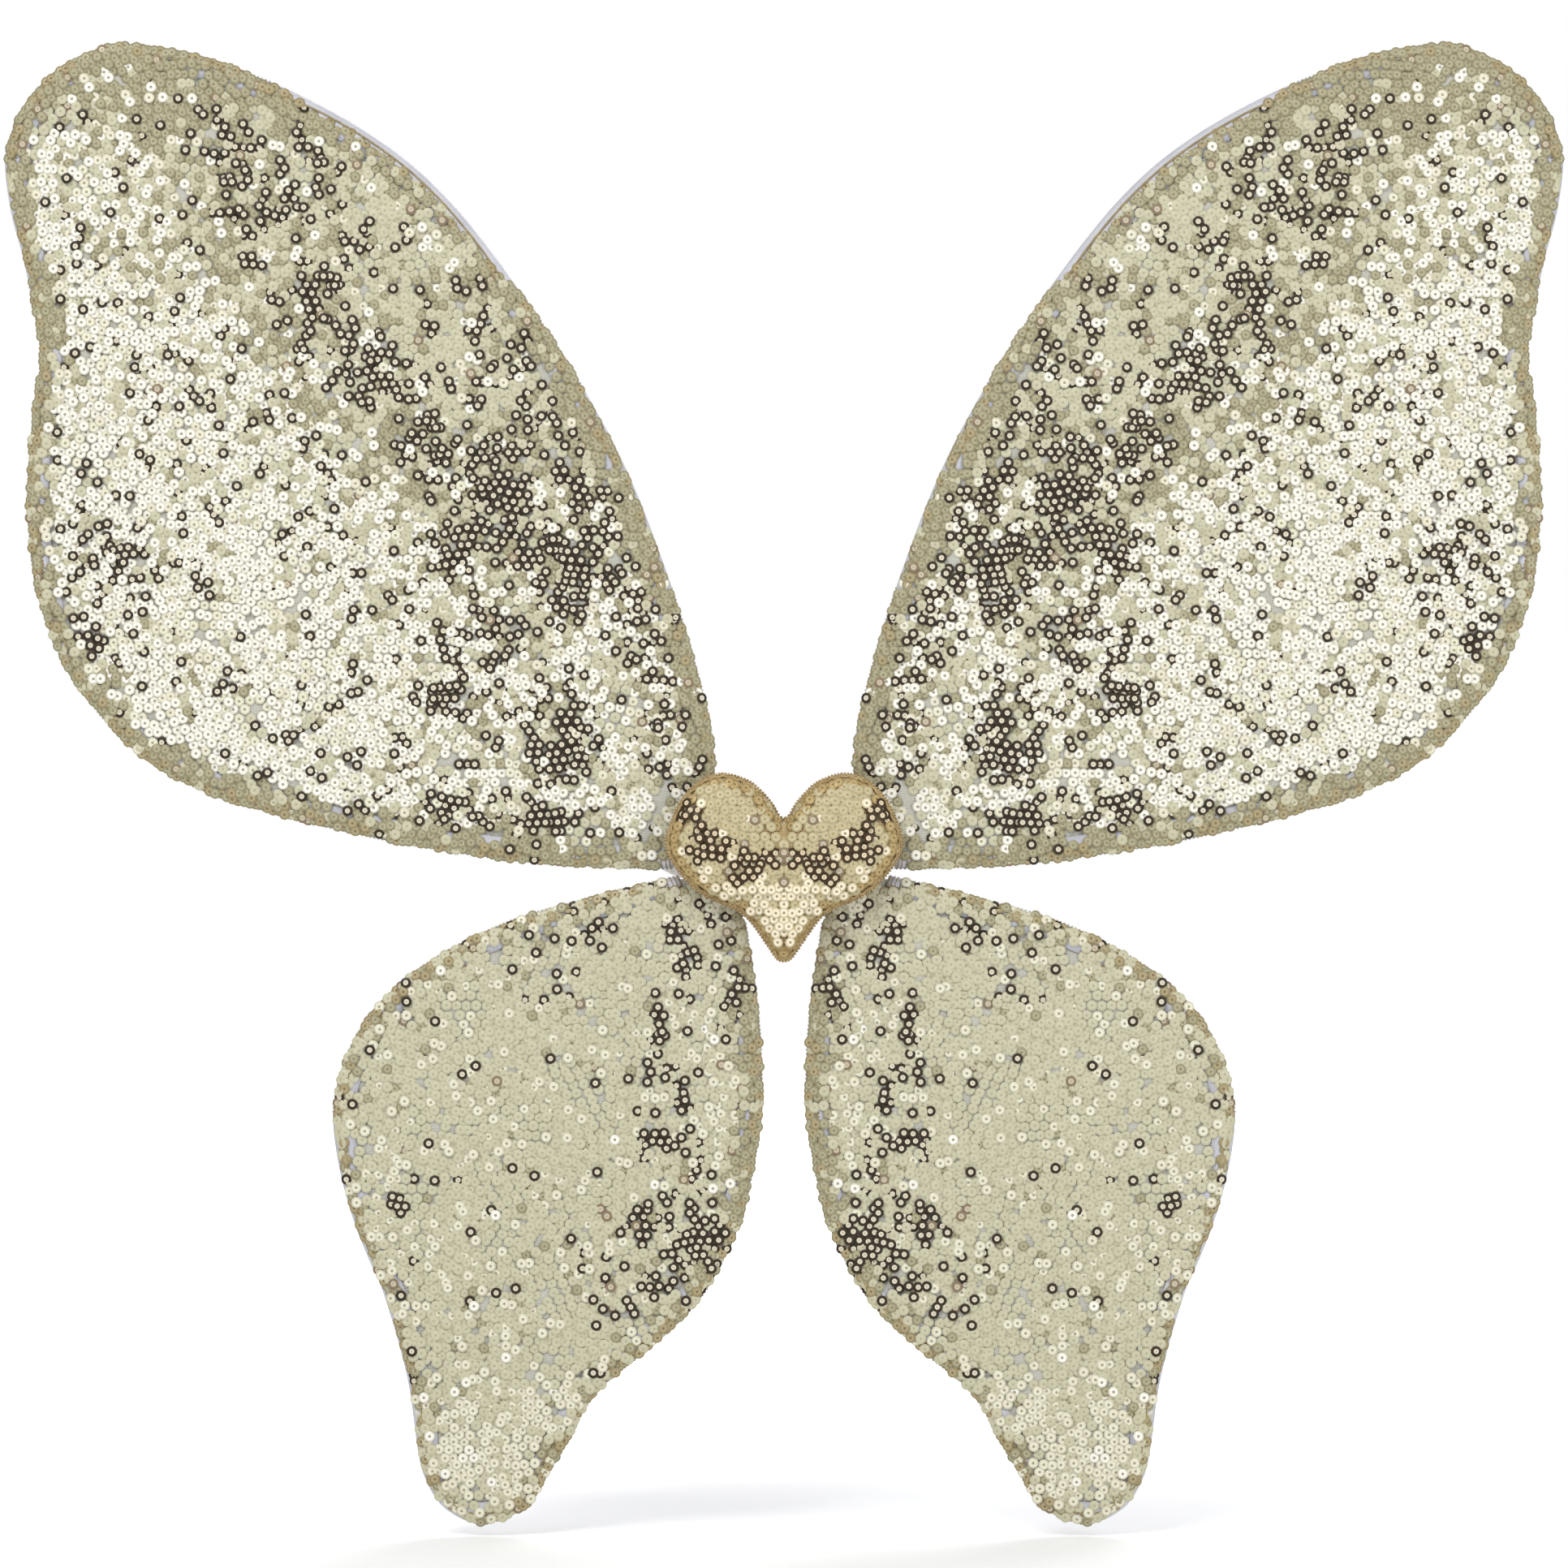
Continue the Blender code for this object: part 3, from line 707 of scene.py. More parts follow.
HEART_BRIGHT = (((25, 19.5), (4.5, 2), 0.9), ((23, -1.5), (3.5, 3.5), 0.9), ((9, 15), (1.4, 1.4), 0.9),
                ((0, 6), (1.6, 3.0), 0.8))


def clusters(points, spots):
    return sum(share * blob(points, centre, radii) for centre, radii, share in spots)


def speckle(points, size, seed):
    """A factor that breaks a zone into threads of neighbours: near 0 in places, up to 1.4 in others."""
    return 0.15 + 1.25 * step(clump(points, size, seed), 0.36, 0.62)


def scattered(points, size, seed, low):
    """Small groups of neighbours: 1 inside a group and 0 between them."""
    return step(clump(points, size, seed), low, low + 0.12)


def upper_shares(points, edge):
    """How likely each tone is at points of an upper wing; edge is the distance to the outline. The shares are
    painted reflection: pale tones outboard of the band, darker ones at the rim, at the tip and where the foil
    mirrors something dark.
    """
    outboard = signed_distance(points, UPPER_BAND)
    height = points[:, 1]
    root = step(-points[:, 0], -105, -55) * step(-height, -100, -60)
    beyond = np.maximum(0.60 * step(outboard, 0, 13) + 0.40 * step(outboard, 12, 60), 0.75 * root)
    tip = step(height, 196, 214) * (1 - 0.9 * blob(points, (200, 202), (18, 10)))
    rim = step(-edge - 6 * (clump(points, 7, 0.4) - 0.5), -9.5, -4)
    patches = step(clump(points, 9, 3.1), 0.20, 0.46)
    bright = beyond * (1 - 0.92 * tip) * (1 - 0.97 * rim) * (0.44 + 0.55 * patches) * (1 - 0.25 * root)
    bright += 0.02 + 0.60 * scattered(points, 4.0, 6.6, 0.72) * (1 - 0.5 * tip)
    bright = np.clip(bright * (1 - 0.95 * rim), 0, 0.97)
    strip = near(points, UPPER_STRIP, 10)
    dark = clusters(points, UPPER_DARK) * (0.55 + 0.65 * speckle(points, 5.0, 7.7))
    dark += 0.50 * strip * speckle(points, 4.0, 2.9) * (1 - np.clip(dark, 0, 1))
    inner = step(-np.abs(outboard - 30), -60, -10)
    dark += (0.006 + 0.050 * inner * step(-height, -190, -150)) * speckle(points, 3.5, 5.1)
    dark += 0.55 * scattered(points, 3.6, 8.8, 0.75) * (1 - 0.6 * tip)
    dark *= 1 - 0.9 * step(-edge, -10, -5)
    olive = 0.12 + 0.30 * near(points, UPPER_BAND, 16) + 0.64 * rim + 0.40 * tip + 0.25 * strip
    olive += 0.35 * scattered(points, 6.0, 4.4, 0.60)
    return dark, bright, olive, 0.02 * rim + 0.008


def lower_shares(points, edge):
    # Painted reflection, as on the upper wings: pale tones at the bottom tip and in two long patches, darker
    # ones at the rim, along the strip and where the foil mirrors something dark.
    rim = step(-edge - 3 * (clump(points, 6, 0.9) - 0.5), -8, -3)
    tip = step(-points[:, 1], 132, 158)
    patches = clump(points, 7, 5.3)
    bright = 0.015 + 0.08 * step(patches, 0.5, 0.75) + 0.20 * blob(points, (112, -100), (12, 40))
    bright += 0.34 * blob(points, (20, -62), (7, 45)) + 0.75 * tip
    bright += 0.30 * scattered(points, 3.6, 2.2, 0.76)
    dark = clusters(points, LOWER_DARK) * (0.60 + 0.55 * speckle(points, 4.5, 9.9))
    dark += 0.012 * blob(points, (75, -60), (40, 45)) * speckle(points, 3.0, 1.3)
    dark += 0.22 * scattered(points, 3.2, 6.1, 0.80)
    dark *= 1 - step(-points[:, 1], 138, 150)
    strip = near(points, LOWER_STRIP, 5)
    olive = 0.04 + 0.28 * rim + 0.55 * strip
    return dark, np.clip(bright * (1 - 0.6 * strip) * (1 - 0.75 * rim), 0, 0.9), olive, 0.02 * rim + 0.008


def pick_tones(points, edge, shares, rng, gold_rim, gold_share):
    """A tone name for each point, drawn from the shares there."""
    dark, bright, olive, copper = shares(points, edge)
    draw = rng.random((len(points), 4))
    tones = np.where(draw[:, 1] < olive, "olive", "khaki").astype("<U11")
    # Cream and champagne paint reflected light, and the dark tone paints reflected dark surroundings.
    tones[draw[:, 2] < bright] = "cream"
    tones[(tones == "cream") & (draw[:, 3] < (0.95 if shares is lower_shares else 0.25))] = "champagne"
    tones[(tones == "khaki") & (draw[:, 3] < 0.05)] = "champagne"
    tones[draw[:, 0] < dark] = "bronze"
    tones[(draw[:, 0] > 1 - copper) & (tones != "cream")] = "copper"
    tones[(edge < gold_rim) & (draw[:, 3] > 1 - gold_share) & (tones != "bronze")] = "gold"
    return tones


def sewn_points(loop, rng):
    """Sewn rows: a drifting hexagonal grid over a loop's box, and a layer for each point that its neighbours
    don't have."""
    low, high = loop.min(axis=0), loop.max(axis=0)
    row = SEQUIN_PITCH * math.sqrt(3) / 2
    points, layers = [], []
    for j in range(int((high[1] - low[1]) / row) + 2):
        across = np.arange(low[0], high[0] + SEQUIN_PITCH, SEQUIN_PITCH) + SEQUIN_PITCH / 2 * (j % 2)
        points += [(x, low[1] + j * row) for x in across]
        layers += [(i - j // 2 - j) % 3 for i in range(len(across))]
    points = np.array(points)
    drift = np.array([
        [noise.noise(Vector((x / DRIFT_SIZE, z / DRIFT_SIZE, layer))) for layer in DRIFT_LAYERS]
        for x, z in points])
    return points + DRIFT * drift + rng.normal(0, SEWING_ERROR, points.shape), np.array(layers)


# ---------------------------------------------------------------- the wings


def wing_height(points):
    """How far a wing's cloth stands off its flat plane: slack, and soft folds that run out from the root."""
    u, z = points[:, 0], points[:, 1]
    spread = np.arctan2(z, u)
    reach = np.hypot(u, z)
    folds = 0.28 * np.sin(spread * 34) * np.exp(-(((reach - 55) / 45) ** 2))
    slack = np.array([noise.noise(Vector((a / 38, b / 38, 1.7))) for a, b in points])
    return folds + 0.55 * slack


def sheet_piece(name, flat, triangles, count, depths, side, material, body, rim=()):
    """A closed sheet: two skins over the same flat points, whose first count are the edge, and rim rows."""
    skins = [placed(flat, depth, side) for depth in depths]
    total = len(flat)
    faces = triangles + [tuple(total + i for i in reversed(t)) for t in triangles]
    starts = [0] + [2 * total + k * count for k in range(len(rim))] + [total]
    for here, there in zip(starts, starts[1:]):
        faces += band(here, there, count)
    return closed_piece(name, np.concatenate(skins + list(rim)), faces, material, body)


def past_root(line):
    """A wing's outline closed by a chord that lies inboard of its root bar."""
    chord = line[0] - line[-1]
    inboard = np.array((-chord[1], chord[0])) / np.linalg.norm(chord)
    if inboard @ (line.mean(axis=0) - line[0]) > 0:
        inboard = -inboard
    return np.concatenate([line, [line[-1] + inboard * ROOT_REACH, line[0] + inboard * ROOT_REACH]])


def nearest_index(points, line):
    return np.linalg.norm(points[:, None] - line[None], axis=2).argmin(axis=1)


def cloth_sheet(name, edge_line, inset, side, wire_y, face, material, body):
    """Cloth across a wing. Its edge is tucked into the hem, and its root end reaches past the root bar."""
    loop = past_root(edge_line + inward(edge_line) * inset)
    flat, triangles = filled(loop, PANEL_GRID)
    near_edge = distance(flat, edge_line)
    rise = TUCK_DEPTH + (FRONT_RISE - TUCK_DEPTH + 0.1) * step(near_edge, 5.0, 9.0)
    outer = wire_y + face * (rise + wing_height(flat) * step(near_edge, 6, 16))
    skins = (outer, outer - face * FABRIC_T)
    return sheet_piece(name, flat, triangles, len(loop), skins, side, material, body)


def reveal(line, level):
    """How much of the hem's cloth shows at each point of an outline, from 0 to 1."""
    z, turn = line[:, 1], inward(line)[:, 0]
    if level == "upper":
        bare = step(z, 156, 178) * step(-z, -226, -214) + 0.3 * step(z, 68, 84) * step(-z, -146, -132)
        tip = 0.4 * step(z, 160, 170) * step(-z, -206, -196)
        return np.where(turn > 0.2, bare, tip * (turn < -0.2))
    return 0.35 * step(-z, 58, 72) * step(-z, -106, -92) * (turn < -0.2)


def hem_profile():
    """(inset, depth) points round the folded hem: out round the fold, then back along its inside."""
    turns = np.linspace(0, math.pi, 9)
    slim = HEM_HALF - HEM_T
    outer = [(HEM_HALF - HEM_HALF * math.sin(a), -HEM_HALF * math.cos(a)) for a in turns]
    inner = [(HEM_HALF - slim * math.sin(a), slim * math.cos(a)) for a in turns]
    return [(HEM_W, -HEM_HALF)] + outer + [(HEM_W, HEM_HALF), (HEM_W, slim)] + inner + [(HEM_W, -slim)]


def along_edge(line, normals, inset, y, side):
    """Points at a set inset from a line, at depth y."""
    spots = line + normals * inset
    return placed(spots, np.full(len(spots), y) if np.isscalar(y) else y, side)


def build_hem(prefix, line, wire_y, side, body, material):
    path = resample(line, 2.0)
    path = path + inward(path) * HEM_INSET
    normals = inward(path)
    travel = np.arange(len(path)) * 2.0
    pucker = 1 + 0.035 * np.sin(travel * 2 * math.pi / 6.6) + 0.03 * np.sin(travel * 0.71)
    profile = hem_profile()
    rings = [along_edge(path, normals, inset, wire_y + depth * pucker, side) for inset, depth in profile]
    verts = np.stack(rings, axis=1).reshape(-1, 3)
    return closed_piece(f"{prefix}_hem", verts, tube_faces(len(path), len(profile)), material, body, "satin")


def overlock(name, line, mid_y, side, body, material, half, bare, rng):
    """Thread wrapped over an edge, one slanting loop a stitch, with a chain of it along each face."""
    normals = inward(line)
    angles = np.linspace(-math.pi / 2, math.pi / 2, 7)
    lean = rng.normal(0, 0.35, len(line))
    reach = half * (1 + rng.uniform(-0.1, 0.35, len(line)))
    parts = []
    for i in range(len(line) - 1):
        if bare[i] > 0.25:
            continue
        forward = line[i + 1] - line[i]
        path = []
        for angle in np.concatenate([angles[:1], angles, angles[-1:]]):
            share = (angle + math.pi / 2) / math.pi
            inset = half - (half + 0.10) * math.cos(angle)
            spot = line[i] + forward * (share + lean[i] * (share - 0.5)) + normals[i] * inset
            path.append((side * spot[0], mid_y + (half + 0.12) * math.sin(angle), spot[1]))
        for end in (0, -1):
            spot = line[i] + forward * (end + 1) + normals[i] * (half + reach[i] * 0.5)
            path[end] = (side * spot[0], path[end][1], spot[1])
        parts.append(strand(path, THREAD_R))
    for face in (-1, 1):
        wiggle = (half * 1.25 + 0.25 * np.sin(np.arange(len(line)) * 2.1)) * (1 - bare)
        wiggle += 0.9 * REVEAL_W * bare
        chain_path = along_edge(line, normals, wiggle[:, None], mid_y + face * (half + 0.2), side)
        parts.append(strand(chain_path, THREAD_R * 1.6))
    closed_piece(name, *joined(parts), material, body, "binding")


def running_stitch(name, line, y, side, body, material):
    """Short stitches along a line that lies at depth y, each bulging a little."""
    path = resample(line, 0.6)
    parts = []
    for i in range(0, len(path) - 4, 6):
        spots = path[i : i + 4]
        bulge = y + STITCH_BULGE * np.array((0.1, 1.0, 1.0, 0.1))
        parts.append(strand(placed(spots, bulge, side), STITCH_R, 5))
    closed_piece(name, *joined(parts), material, body, "binding")


def room_when_folded(prefix, points, wire_y):
    """The greatest lift at each point that lets a sequin clear the heart's seam with the wing folded."""
    joint = fold_joint(prefix)
    turn = math.radians(max(joint["range_deg"]))
    hinge = np.array((abs(joint["pos_m"][0]), joint["pos_m"][2])) / MM
    outboard = np.array((abs(joint["axis"][2]), abs(joint["axis"][0])))
    reach = (points - hinge) @ outboard
    edge, seam_y = heart_edge()
    room = wire_y - seam_y - SEAM_HALF - 2.5 * THREAD_R - FOLD_ROOM
    folded = points + outboard * (reach * (math.cos(turn) - 1) - FOLDED_LIFT * math.sin(turn))[:, None]
    behind = inside(folded, edge) | (distance(folded, np.concatenate([edge, edge[:1]])) < SEQUIN_R + 1.1)
    return np.where(behind, (room - reach * math.sin(turn)) / math.cos(turn), np.inf)


def wing_sequins(prefix, level, line, wire_y, side, body, seed):
    """Sequins over a wing's front: sewn rows inside, and one row along the edge that laps over the hem."""
    rng = np.random.default_rng(seed)
    bare = reveal(line, level)
    row = resample(np.concatenate([line, bare[:, None]], axis=1), EDGE_ROW_PITCH)
    inset = rng.uniform(0.9, 1.9, len(row)) + REVEAL_W * row[:, 2]
    edge_row = row[:, :2] + inward(row[:, :2]) * inset[:, None]
    loop = past_root(line)
    points, layers = sewn_points(loop, rng)
    edge = distance(points, line)
    nearest = nearest_index(points, line)
    bald = 0.25 * step(-np.abs(edge - 6.0), -2.5, -1.0) * step(clump(points, 5, 7.1), 0.5, 0.65)
    keep = inside(points, loop) & (edge > 2.1 + REVEAL_W * bare[nearest])
    keep &= rng.random(len(points)) > GAP_SHARE + bald
    heights = line[[0, -1], 1]
    end = heights.argmin() if level == "upper" else heights.argmax()
    corner = line[(0, -1)[end]]
    corners = np.stack([corner, loop[(-1, -2)[end]]])
    edge_row = edge_row[np.linalg.norm(edge_row[:, None] - corners, axis=2).min(axis=1) > CORNER_ROOM]
    keep &= np.linalg.norm(points[:, None] - corners, axis=2).min(axis=1) > CORNER_ROOM
    points = np.concatenate([points[keep], edge_row])
    layers = np.concatenate([layers[keep], np.arange(len(edge_row)) % 3])
    edge = np.concatenate([edge[keep], np.full(len(edge_row), 1.0)])
    nearest = np.concatenate([nearest[keep], nearest_index(edge_row, line)])
    shares = upper_shares if level == "upper" else lower_shares
    tones = pick_tones(points, edge, shares, rng, GOLD_RIM, GOLD_SHARE)

    count = len(points)
    fall = step(-edge, -3.2, -0.8)
    lift = FRONT_RISE + SEQUIN_LIFT + wing_height(points) * step(edge, 6, 16) - 0.45 * fall
    calm = step(-np.linalg.norm(points - corner, axis=1), -20, -13)
    lift += HEM_LIFT * step(-edge, -8, -6) + layered(layers, tones, rng, calm) * (1 - 0.4 * fall)
    lift += rng.uniform(0, 0.04, count)
    if level == "upper":
        room = room_when_folded(prefix, points, wire_y)
        fits = room > FRONT_RISE + SEQUIN_LIFT
        lift = np.minimum(lift, room)
    else:
        fits = np.ones(count, dtype=bool)
    outwards = -inward(line)[nearest] * (fall * rng.uniform(0.1, 0.6, count))[:, None]
    lean = rng.normal(0, TILT, (count, 2)) + outwards
    normals = np.stack([side * lean[:, 0], -np.ones(count), lean[:, 1]], axis=1)
    normals /= np.linalg.norm(normals, axis=1)[:, None]
    centres = placed(points, wire_y - lift, side)
    spins = side * rng.uniform(0, 2 * math.pi, count)
    build_sequins(prefix, tones[fits], centres[fits], normals[fits], spins[fits], body)


def build_wing(level, side_name, cloth):
    side = SIDES[side_name]
    prefix = f"{level}_{side_name}"
    body = f"{prefix}_wing"
    low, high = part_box(f"{prefix}_edge_binding")
    wire_y = (low[1] + high[1]) / 2 / MM
    shoulder = flat_shoulder(f"{prefix}_edge_binding", wire_y)
    line = flat_outline(f"{prefix}_edge_binding", (wire_y - shoulder) * MM)
    line[:, 0] *= side
    line = resample(clockwise(line), STITCH_PITCH)

    hem = build_hem(prefix, line, wire_y, side, body, cloth["hem"])
    front = cloth_sheet(f"{prefix}_front_cloth", line, 2.3, side, wire_y, -1, cloth["net"], body)
    lining = cloth_sheet(f"{prefix}_lining", line, 2.3, side, wire_y, 1, cloth["satin"], body)
    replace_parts(front, f"{prefix}_sequin_panel")
    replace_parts(lining, f"{prefix}_lining_panel")
    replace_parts(hem, f"{prefix}_edge_binding")
    sewn = line + inward(line) * HEM_INSET
    overlock(
        f"{prefix}_overlock", sewn, wire_y, side, body, cloth["edge_thread"], HEM_HALF, reveal(line, level),
        np.random.default_rng(31))
    running_stitch(
        f"{prefix}_hem_stitches", line + inward(line) * (HEM_W - 0.8), wire_y + HEM_HALF * 1.03, side, body,
        cloth["edge_thread"])
    wing_sequins(prefix, level, line, wire_y, side, body, {"upper": 11, "lower": 23}[level])
    for node in ("frame_wire", "wire_ferrule"):
        repaint(f"{prefix}_{node}", cloth["steel"])
    build_sleeve(prefix, cloth["felt"])


def build_sleeve(prefix, material):
    """The fabric tunnel round a root bar: a soft teardrop whose flat tail is stitched to the hub."""
    node = f"{prefix}_root_sleeve"
    joint = fold_joint(prefix)
    middle, along = np.array(joint["pos_m"]) / MM, np.array(joint["axis"])
    along = along / np.linalg.norm(along)
    points = vertices(NODES[node]) / MM - middle
    length = np.abs(points @ along).max()
    tail_way = np.cross(along, (0, 1, 0))
    if (points @ tail_way).max() < -(points @ tail_way).min():
        tail_way = -tail_way
    tail = (points @ tail_way).max()
    depth_way = np.array((0.0, 1.0, 0.0))
    radius = np.abs(points[:, 1]).max()
    bore = np.hypot(points @ tail_way, points[:, 1]).min()
    flat, root = 0.65, 0.42
    arc = np.linspace(root, 2 * math.pi - root, 19)
    profile = [(tail * k, flat) for k in (1.0, 0.8, 0.6)]
    profile += [(radius * math.cos(a), radius * math.sin(a)) for a in arc]
    profile += [(tail * k, -flat) for k in (0.6, 0.8, 1.0)]
    profile = np.array(profile)
    turns = np.concatenate([np.linspace(0.1, root, 4)[:3], arc, -np.linspace(0.1, root, 4)[:3][::-1]])
    rings = []
    for at in np.linspace(-length, length, 13):
        ripple = 1 + 0.05 * math.sin(at * 2.6) + 0.03 * math.sin(at * 5.3 + 1)
        scaled = profile * np.array((1.0, min(ripple, 1.0)))
        outer = middle + along * at + scaled[:, :1] * tail_way + scaled[:, 1:] * depth_way
        inner_flat = np.stack([np.cos(turns), np.sin(turns)], axis=1) * bore
        inner = middle + along * at + inner_flat[:, :1] * tail_way + inner_flat[:, 1:] * depth_way
        rings.append((outer, inner))
    count = len(profile)
    verts = np.concatenate([r[0] for r in rings] + [r[1] for r in rings])
    faces = tube_faces(len(rings), count)[:-2]
    faces += [tuple(reversed(f)) for f in tube_faces(len(rings), count, offset=len(rings) * count)[:-2]]
    for ring in (0, len(rings) - 1):
        faces += band(ring * count, (len(rings) + ring) * count, count)
    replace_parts(closed_piece(f"{prefix}_sleeve", verts, faces, material, "hub", "felt"), node)


def flat_shoulder(node, wire_y):
    """Half the width, in millimetres, of the flat that a binding's outermost edge has."""
    points = vertices(NODES[node]) / MM
    top = points[points[:, 2] > points[:, 2].max() - 0.02]
    return float(np.abs(top[:, 1] - wire_y).max())


def repaint(node, material):
    for slot in NODES[node].material_slots:
        slot.material = material


# ---------------------------------------------------------------- the heart


def heart_edge():
    """The seam's outer line and its depth, in millimetres."""
    low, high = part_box("heart_seam_binding")
    seam_y = (low[1] + high[1]) / 2
    line = clockwise(flat_outline("heart_seam_binding", seam_y))
    return line, seam_y / MM - SEAM_FORWARD


def build_cushion(line, seam_y, material):
    """The padded heart: a closed form blown up by a cloth simulation that is held at its seam."""
    front_low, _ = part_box("heart_cover")
    _, back_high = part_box("heart_back")
    rise, depth = seam_y - front_low[1] / MM, back_high[1] / MM - seam_y
    loop = resample(line, 2.0, closed=True)
    loop = loop + inward(loop, closed=True) * 1.7
    middle = np.array((0.0, (loop[:, 1].max() + loop[:, 1].min()) / 2 + 1.5))
    shares = (1.0, 0.95, 0.86, 0.72, 0.52, 0.28)
    rings = []
    for side, height, roundness in ((-1, rise, 0.5), (1, depth, 1.0)):
        ring_set = []
        for share in shares:
            ring = middle + (loop - middle) * share
            bulge = side * (0.35 + 0.82 * height * (1 - share**2.2) ** roundness)
            ring_set.append(placed(ring, np.full(len(ring), seam_y + bulge)))
        rings.append(ring_set)
    rows = rings[0][::-1] + rings[1]
    verts = np.concatenate(rows)
    piece = closed_piece("heart_cushion", verts, tube_faces(len(rows), len(loop)), material, None)
    inflate(piece, seam_y * MM)
    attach(piece, "hub")
    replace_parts(piece, "heart_cover", "heart_back", "heart_filling", "heart_seam_binding")
    return piece


def inflate(piece, seam_y):
    """Runs Cloth with pressure on the piece, with its seam pinned and each point's move capped."""
    bpy.context.view_layer.objects.active = piece
    piece.select_set(True)
    remesh = piece.modifiers.new("remesh", "REMESH")
    remesh.mode = "VOXEL"
    remesh.voxel_size = 1.3 * MM
    remesh.use_smooth_shade = True
    bpy.ops.object.modifier_apply(modifier="remesh")
    rest = vertices(piece)
    pins = piece.vertex_groups.new(name="seam")
    held = np.nonzero(np.abs(rest[:, 1] - seam_y) < 0.7 * MM)[0]
    pins.add([int(i) for i in held], 1.0, "REPLACE")
    cloth = piece.modifiers.new("cloth", "CLOTH")
    cloth.settings.use_pressure = True
    cloth.settings.uniform_pressure_force = 4.0
    cloth.settings.effector_weights.gravity = 0.0
    cloth.settings.vertex_group_mass = "seam"
    cloth.settings.quality = 5
    cloth.settings.mass = 0.15
    cloth.collision_settings.use_collision = False
    for at in range(1, 21):
        bpy.context.scene.frame_set(at)
    moved = vertices(piece.evaluated_get(bpy.context.evaluated_depsgraph_get()))
    piece.modifiers.remove(cloth)
    bpy.context.scene.frame_set(1)
    shift = moved - rest
    length = np.linalg.norm(shift, axis=1)[:, None]
    cap = 0.9 * MM
    shift *= np.minimum(1.0, cap / np.maximum(length, 1e-9))
    piece.data.vertices.foreach_set("co", (rest + shift).ravel())
    piece.data.update()
    smooth = piece.modifiers.new("smooth", "SUBSURF")
    smooth.levels = smooth.render_levels = 1
    bpy.ops.object.modifier_apply(modifier="smooth")
    piece.select_set(False)


def heart_shares(points, edge):
    """The heart's tones, as painted reflection: a dark W across the lobes, pale below it, and a pale patch on
    each outer lobe.
    """
    mirrored = np.stack([np.abs(points[:, 0]), points[:, 1]], axis=1)
    below = step(-mirrored[:, 1], 1.0, 3.6)
    dark = near(mirrored, HEART_BAND, 2.5) * (0.85 + 0.25 * speckle(points, 4.0, 2.2)) * (1 - below)
    dark = (dark + clusters(mirrored, HEART_DARK)) * (1 - 0.9 * blob(mirrored, (0, 5.5), (2.0, 3.0)))
    bright = 0.95 * below * step(edge, 2.6, 4.8) * step(mirrored[:, 1], -21, -18)
    bright += clusters(mirrored, HEART_BRIGHT) + 0.02
    return dark, np.clip(bright, 0, 0.97), 0 * edge, 0.03 + 0.04 * dark


def heart_sequins(cushion, line):
    """Sequins over the heart's front: sewn rows inside, two rows along the seam, and mirrored halves."""
    rng = np.random.default_rng(47)
    points, layers = sewn_points(line, rng)
    rows = []
    for inset, spacing in ((2.0, 1.7), (3.3, 1.9)):
        path = resample(line, spacing, closed=True)
        rows.append(path + inward(path, closed=True) * (inset + rng.uniform(-0.2, 0.2, len(path)))[:, None])
    outline = np.concatenate([line, line[:1]])
    keep = inside(points, line) & (distance(points, outline) > 4.1)
    points = np.concatenate([points[keep], *rows])
    layers = np.concatenate([layers[keep], *(np.arange(len(row)) % 3 for row in rows)])
    right = points[:, 0] > 0
    points, layers = points[right], layers[right]
    points[points[:, 0] < SEQUIN_PITCH / 2, 0] = 0.0
    tones = pick_tones(points, distance(points, outline), heart_shares, rng, 3.9, 0.75)
    tones = np.array([ON_HEART[tone] for tone in tones])
    lifts = 0.30 + layered(layers, tones, rng)
    leans = rng.normal(0, 0.04, (len(points), 3)) - (0, 0.35, 0)
    spins = rng.uniform(0, 2 * math.pi, len(points))

    tree = BVHTree.FromObject(cushion, bpy.context.evaluated_depsgraph_get())
    centres, normals, sewn = [], [], []
    for side in SIDES.values():
        for i, (u, z) in enumerate(points):
            hit, normal, *_ = tree.ray_cast(Vector((side * u * MM, -0.2, z * MM)), Vector((0, 1, 0)))
            if hit is None or (u == 0.0 and side < 0):
                continue
            centres.append(np.array(hit) / MM + np.array(normal) * lifts[i])
            leaning = np.array(normal) + leans[i] * (side, 1, 1)
            normals.append(leaning / np.linalg.norm(leaning))
            sewn.append((i, side))
    index, sides = (np.array(column) for column in zip(*sewn))
    index = index.astype(int)
    build_sequins("heart", tones[index], np.array(centres), np.array(normals), spins[index] * sides, "hub")


def build_heart(cloth):
    line, seam_y = heart_edge()
    cushion = build_cushion(line, seam_y, cloth["heart_cloth"])
    heart_sequins(cushion, line)
    rim = resample(line, 0.95, closed=True)
    cord = rim + inward(rim, closed=True) * 1.2
    rings = []
    for angle in np.arange(8) * math.pi / 4:
        spots = cord + inward(rim, closed=True) * 0.75 * math.cos(angle)
        rings.append(placed(spots, np.full(len(spots), seam_y + 0.7 * math.sin(angle))))
    verts = np.stack(rings, axis=1).reshape(-1, 3)
    faces = tube_faces(len(cord), 8, closed=True)
    closed_piece("heart_seam_cord", verts, faces, cloth["heart_cloth"], "hub", "binding")
    sewn = rim + inward(rim, closed=True) * 0.35
    sewn = np.concatenate([sewn, sewn[:1]])
    overlock(
        "heart_overlock", sewn, seam_y, 1.0, "hub", cloth["gold_thread"], SEAM_HALF, np.zeros(len(sewn)),
        np.random.default_rng(5))


# ---------------------------------------------------------------- the hub and straps


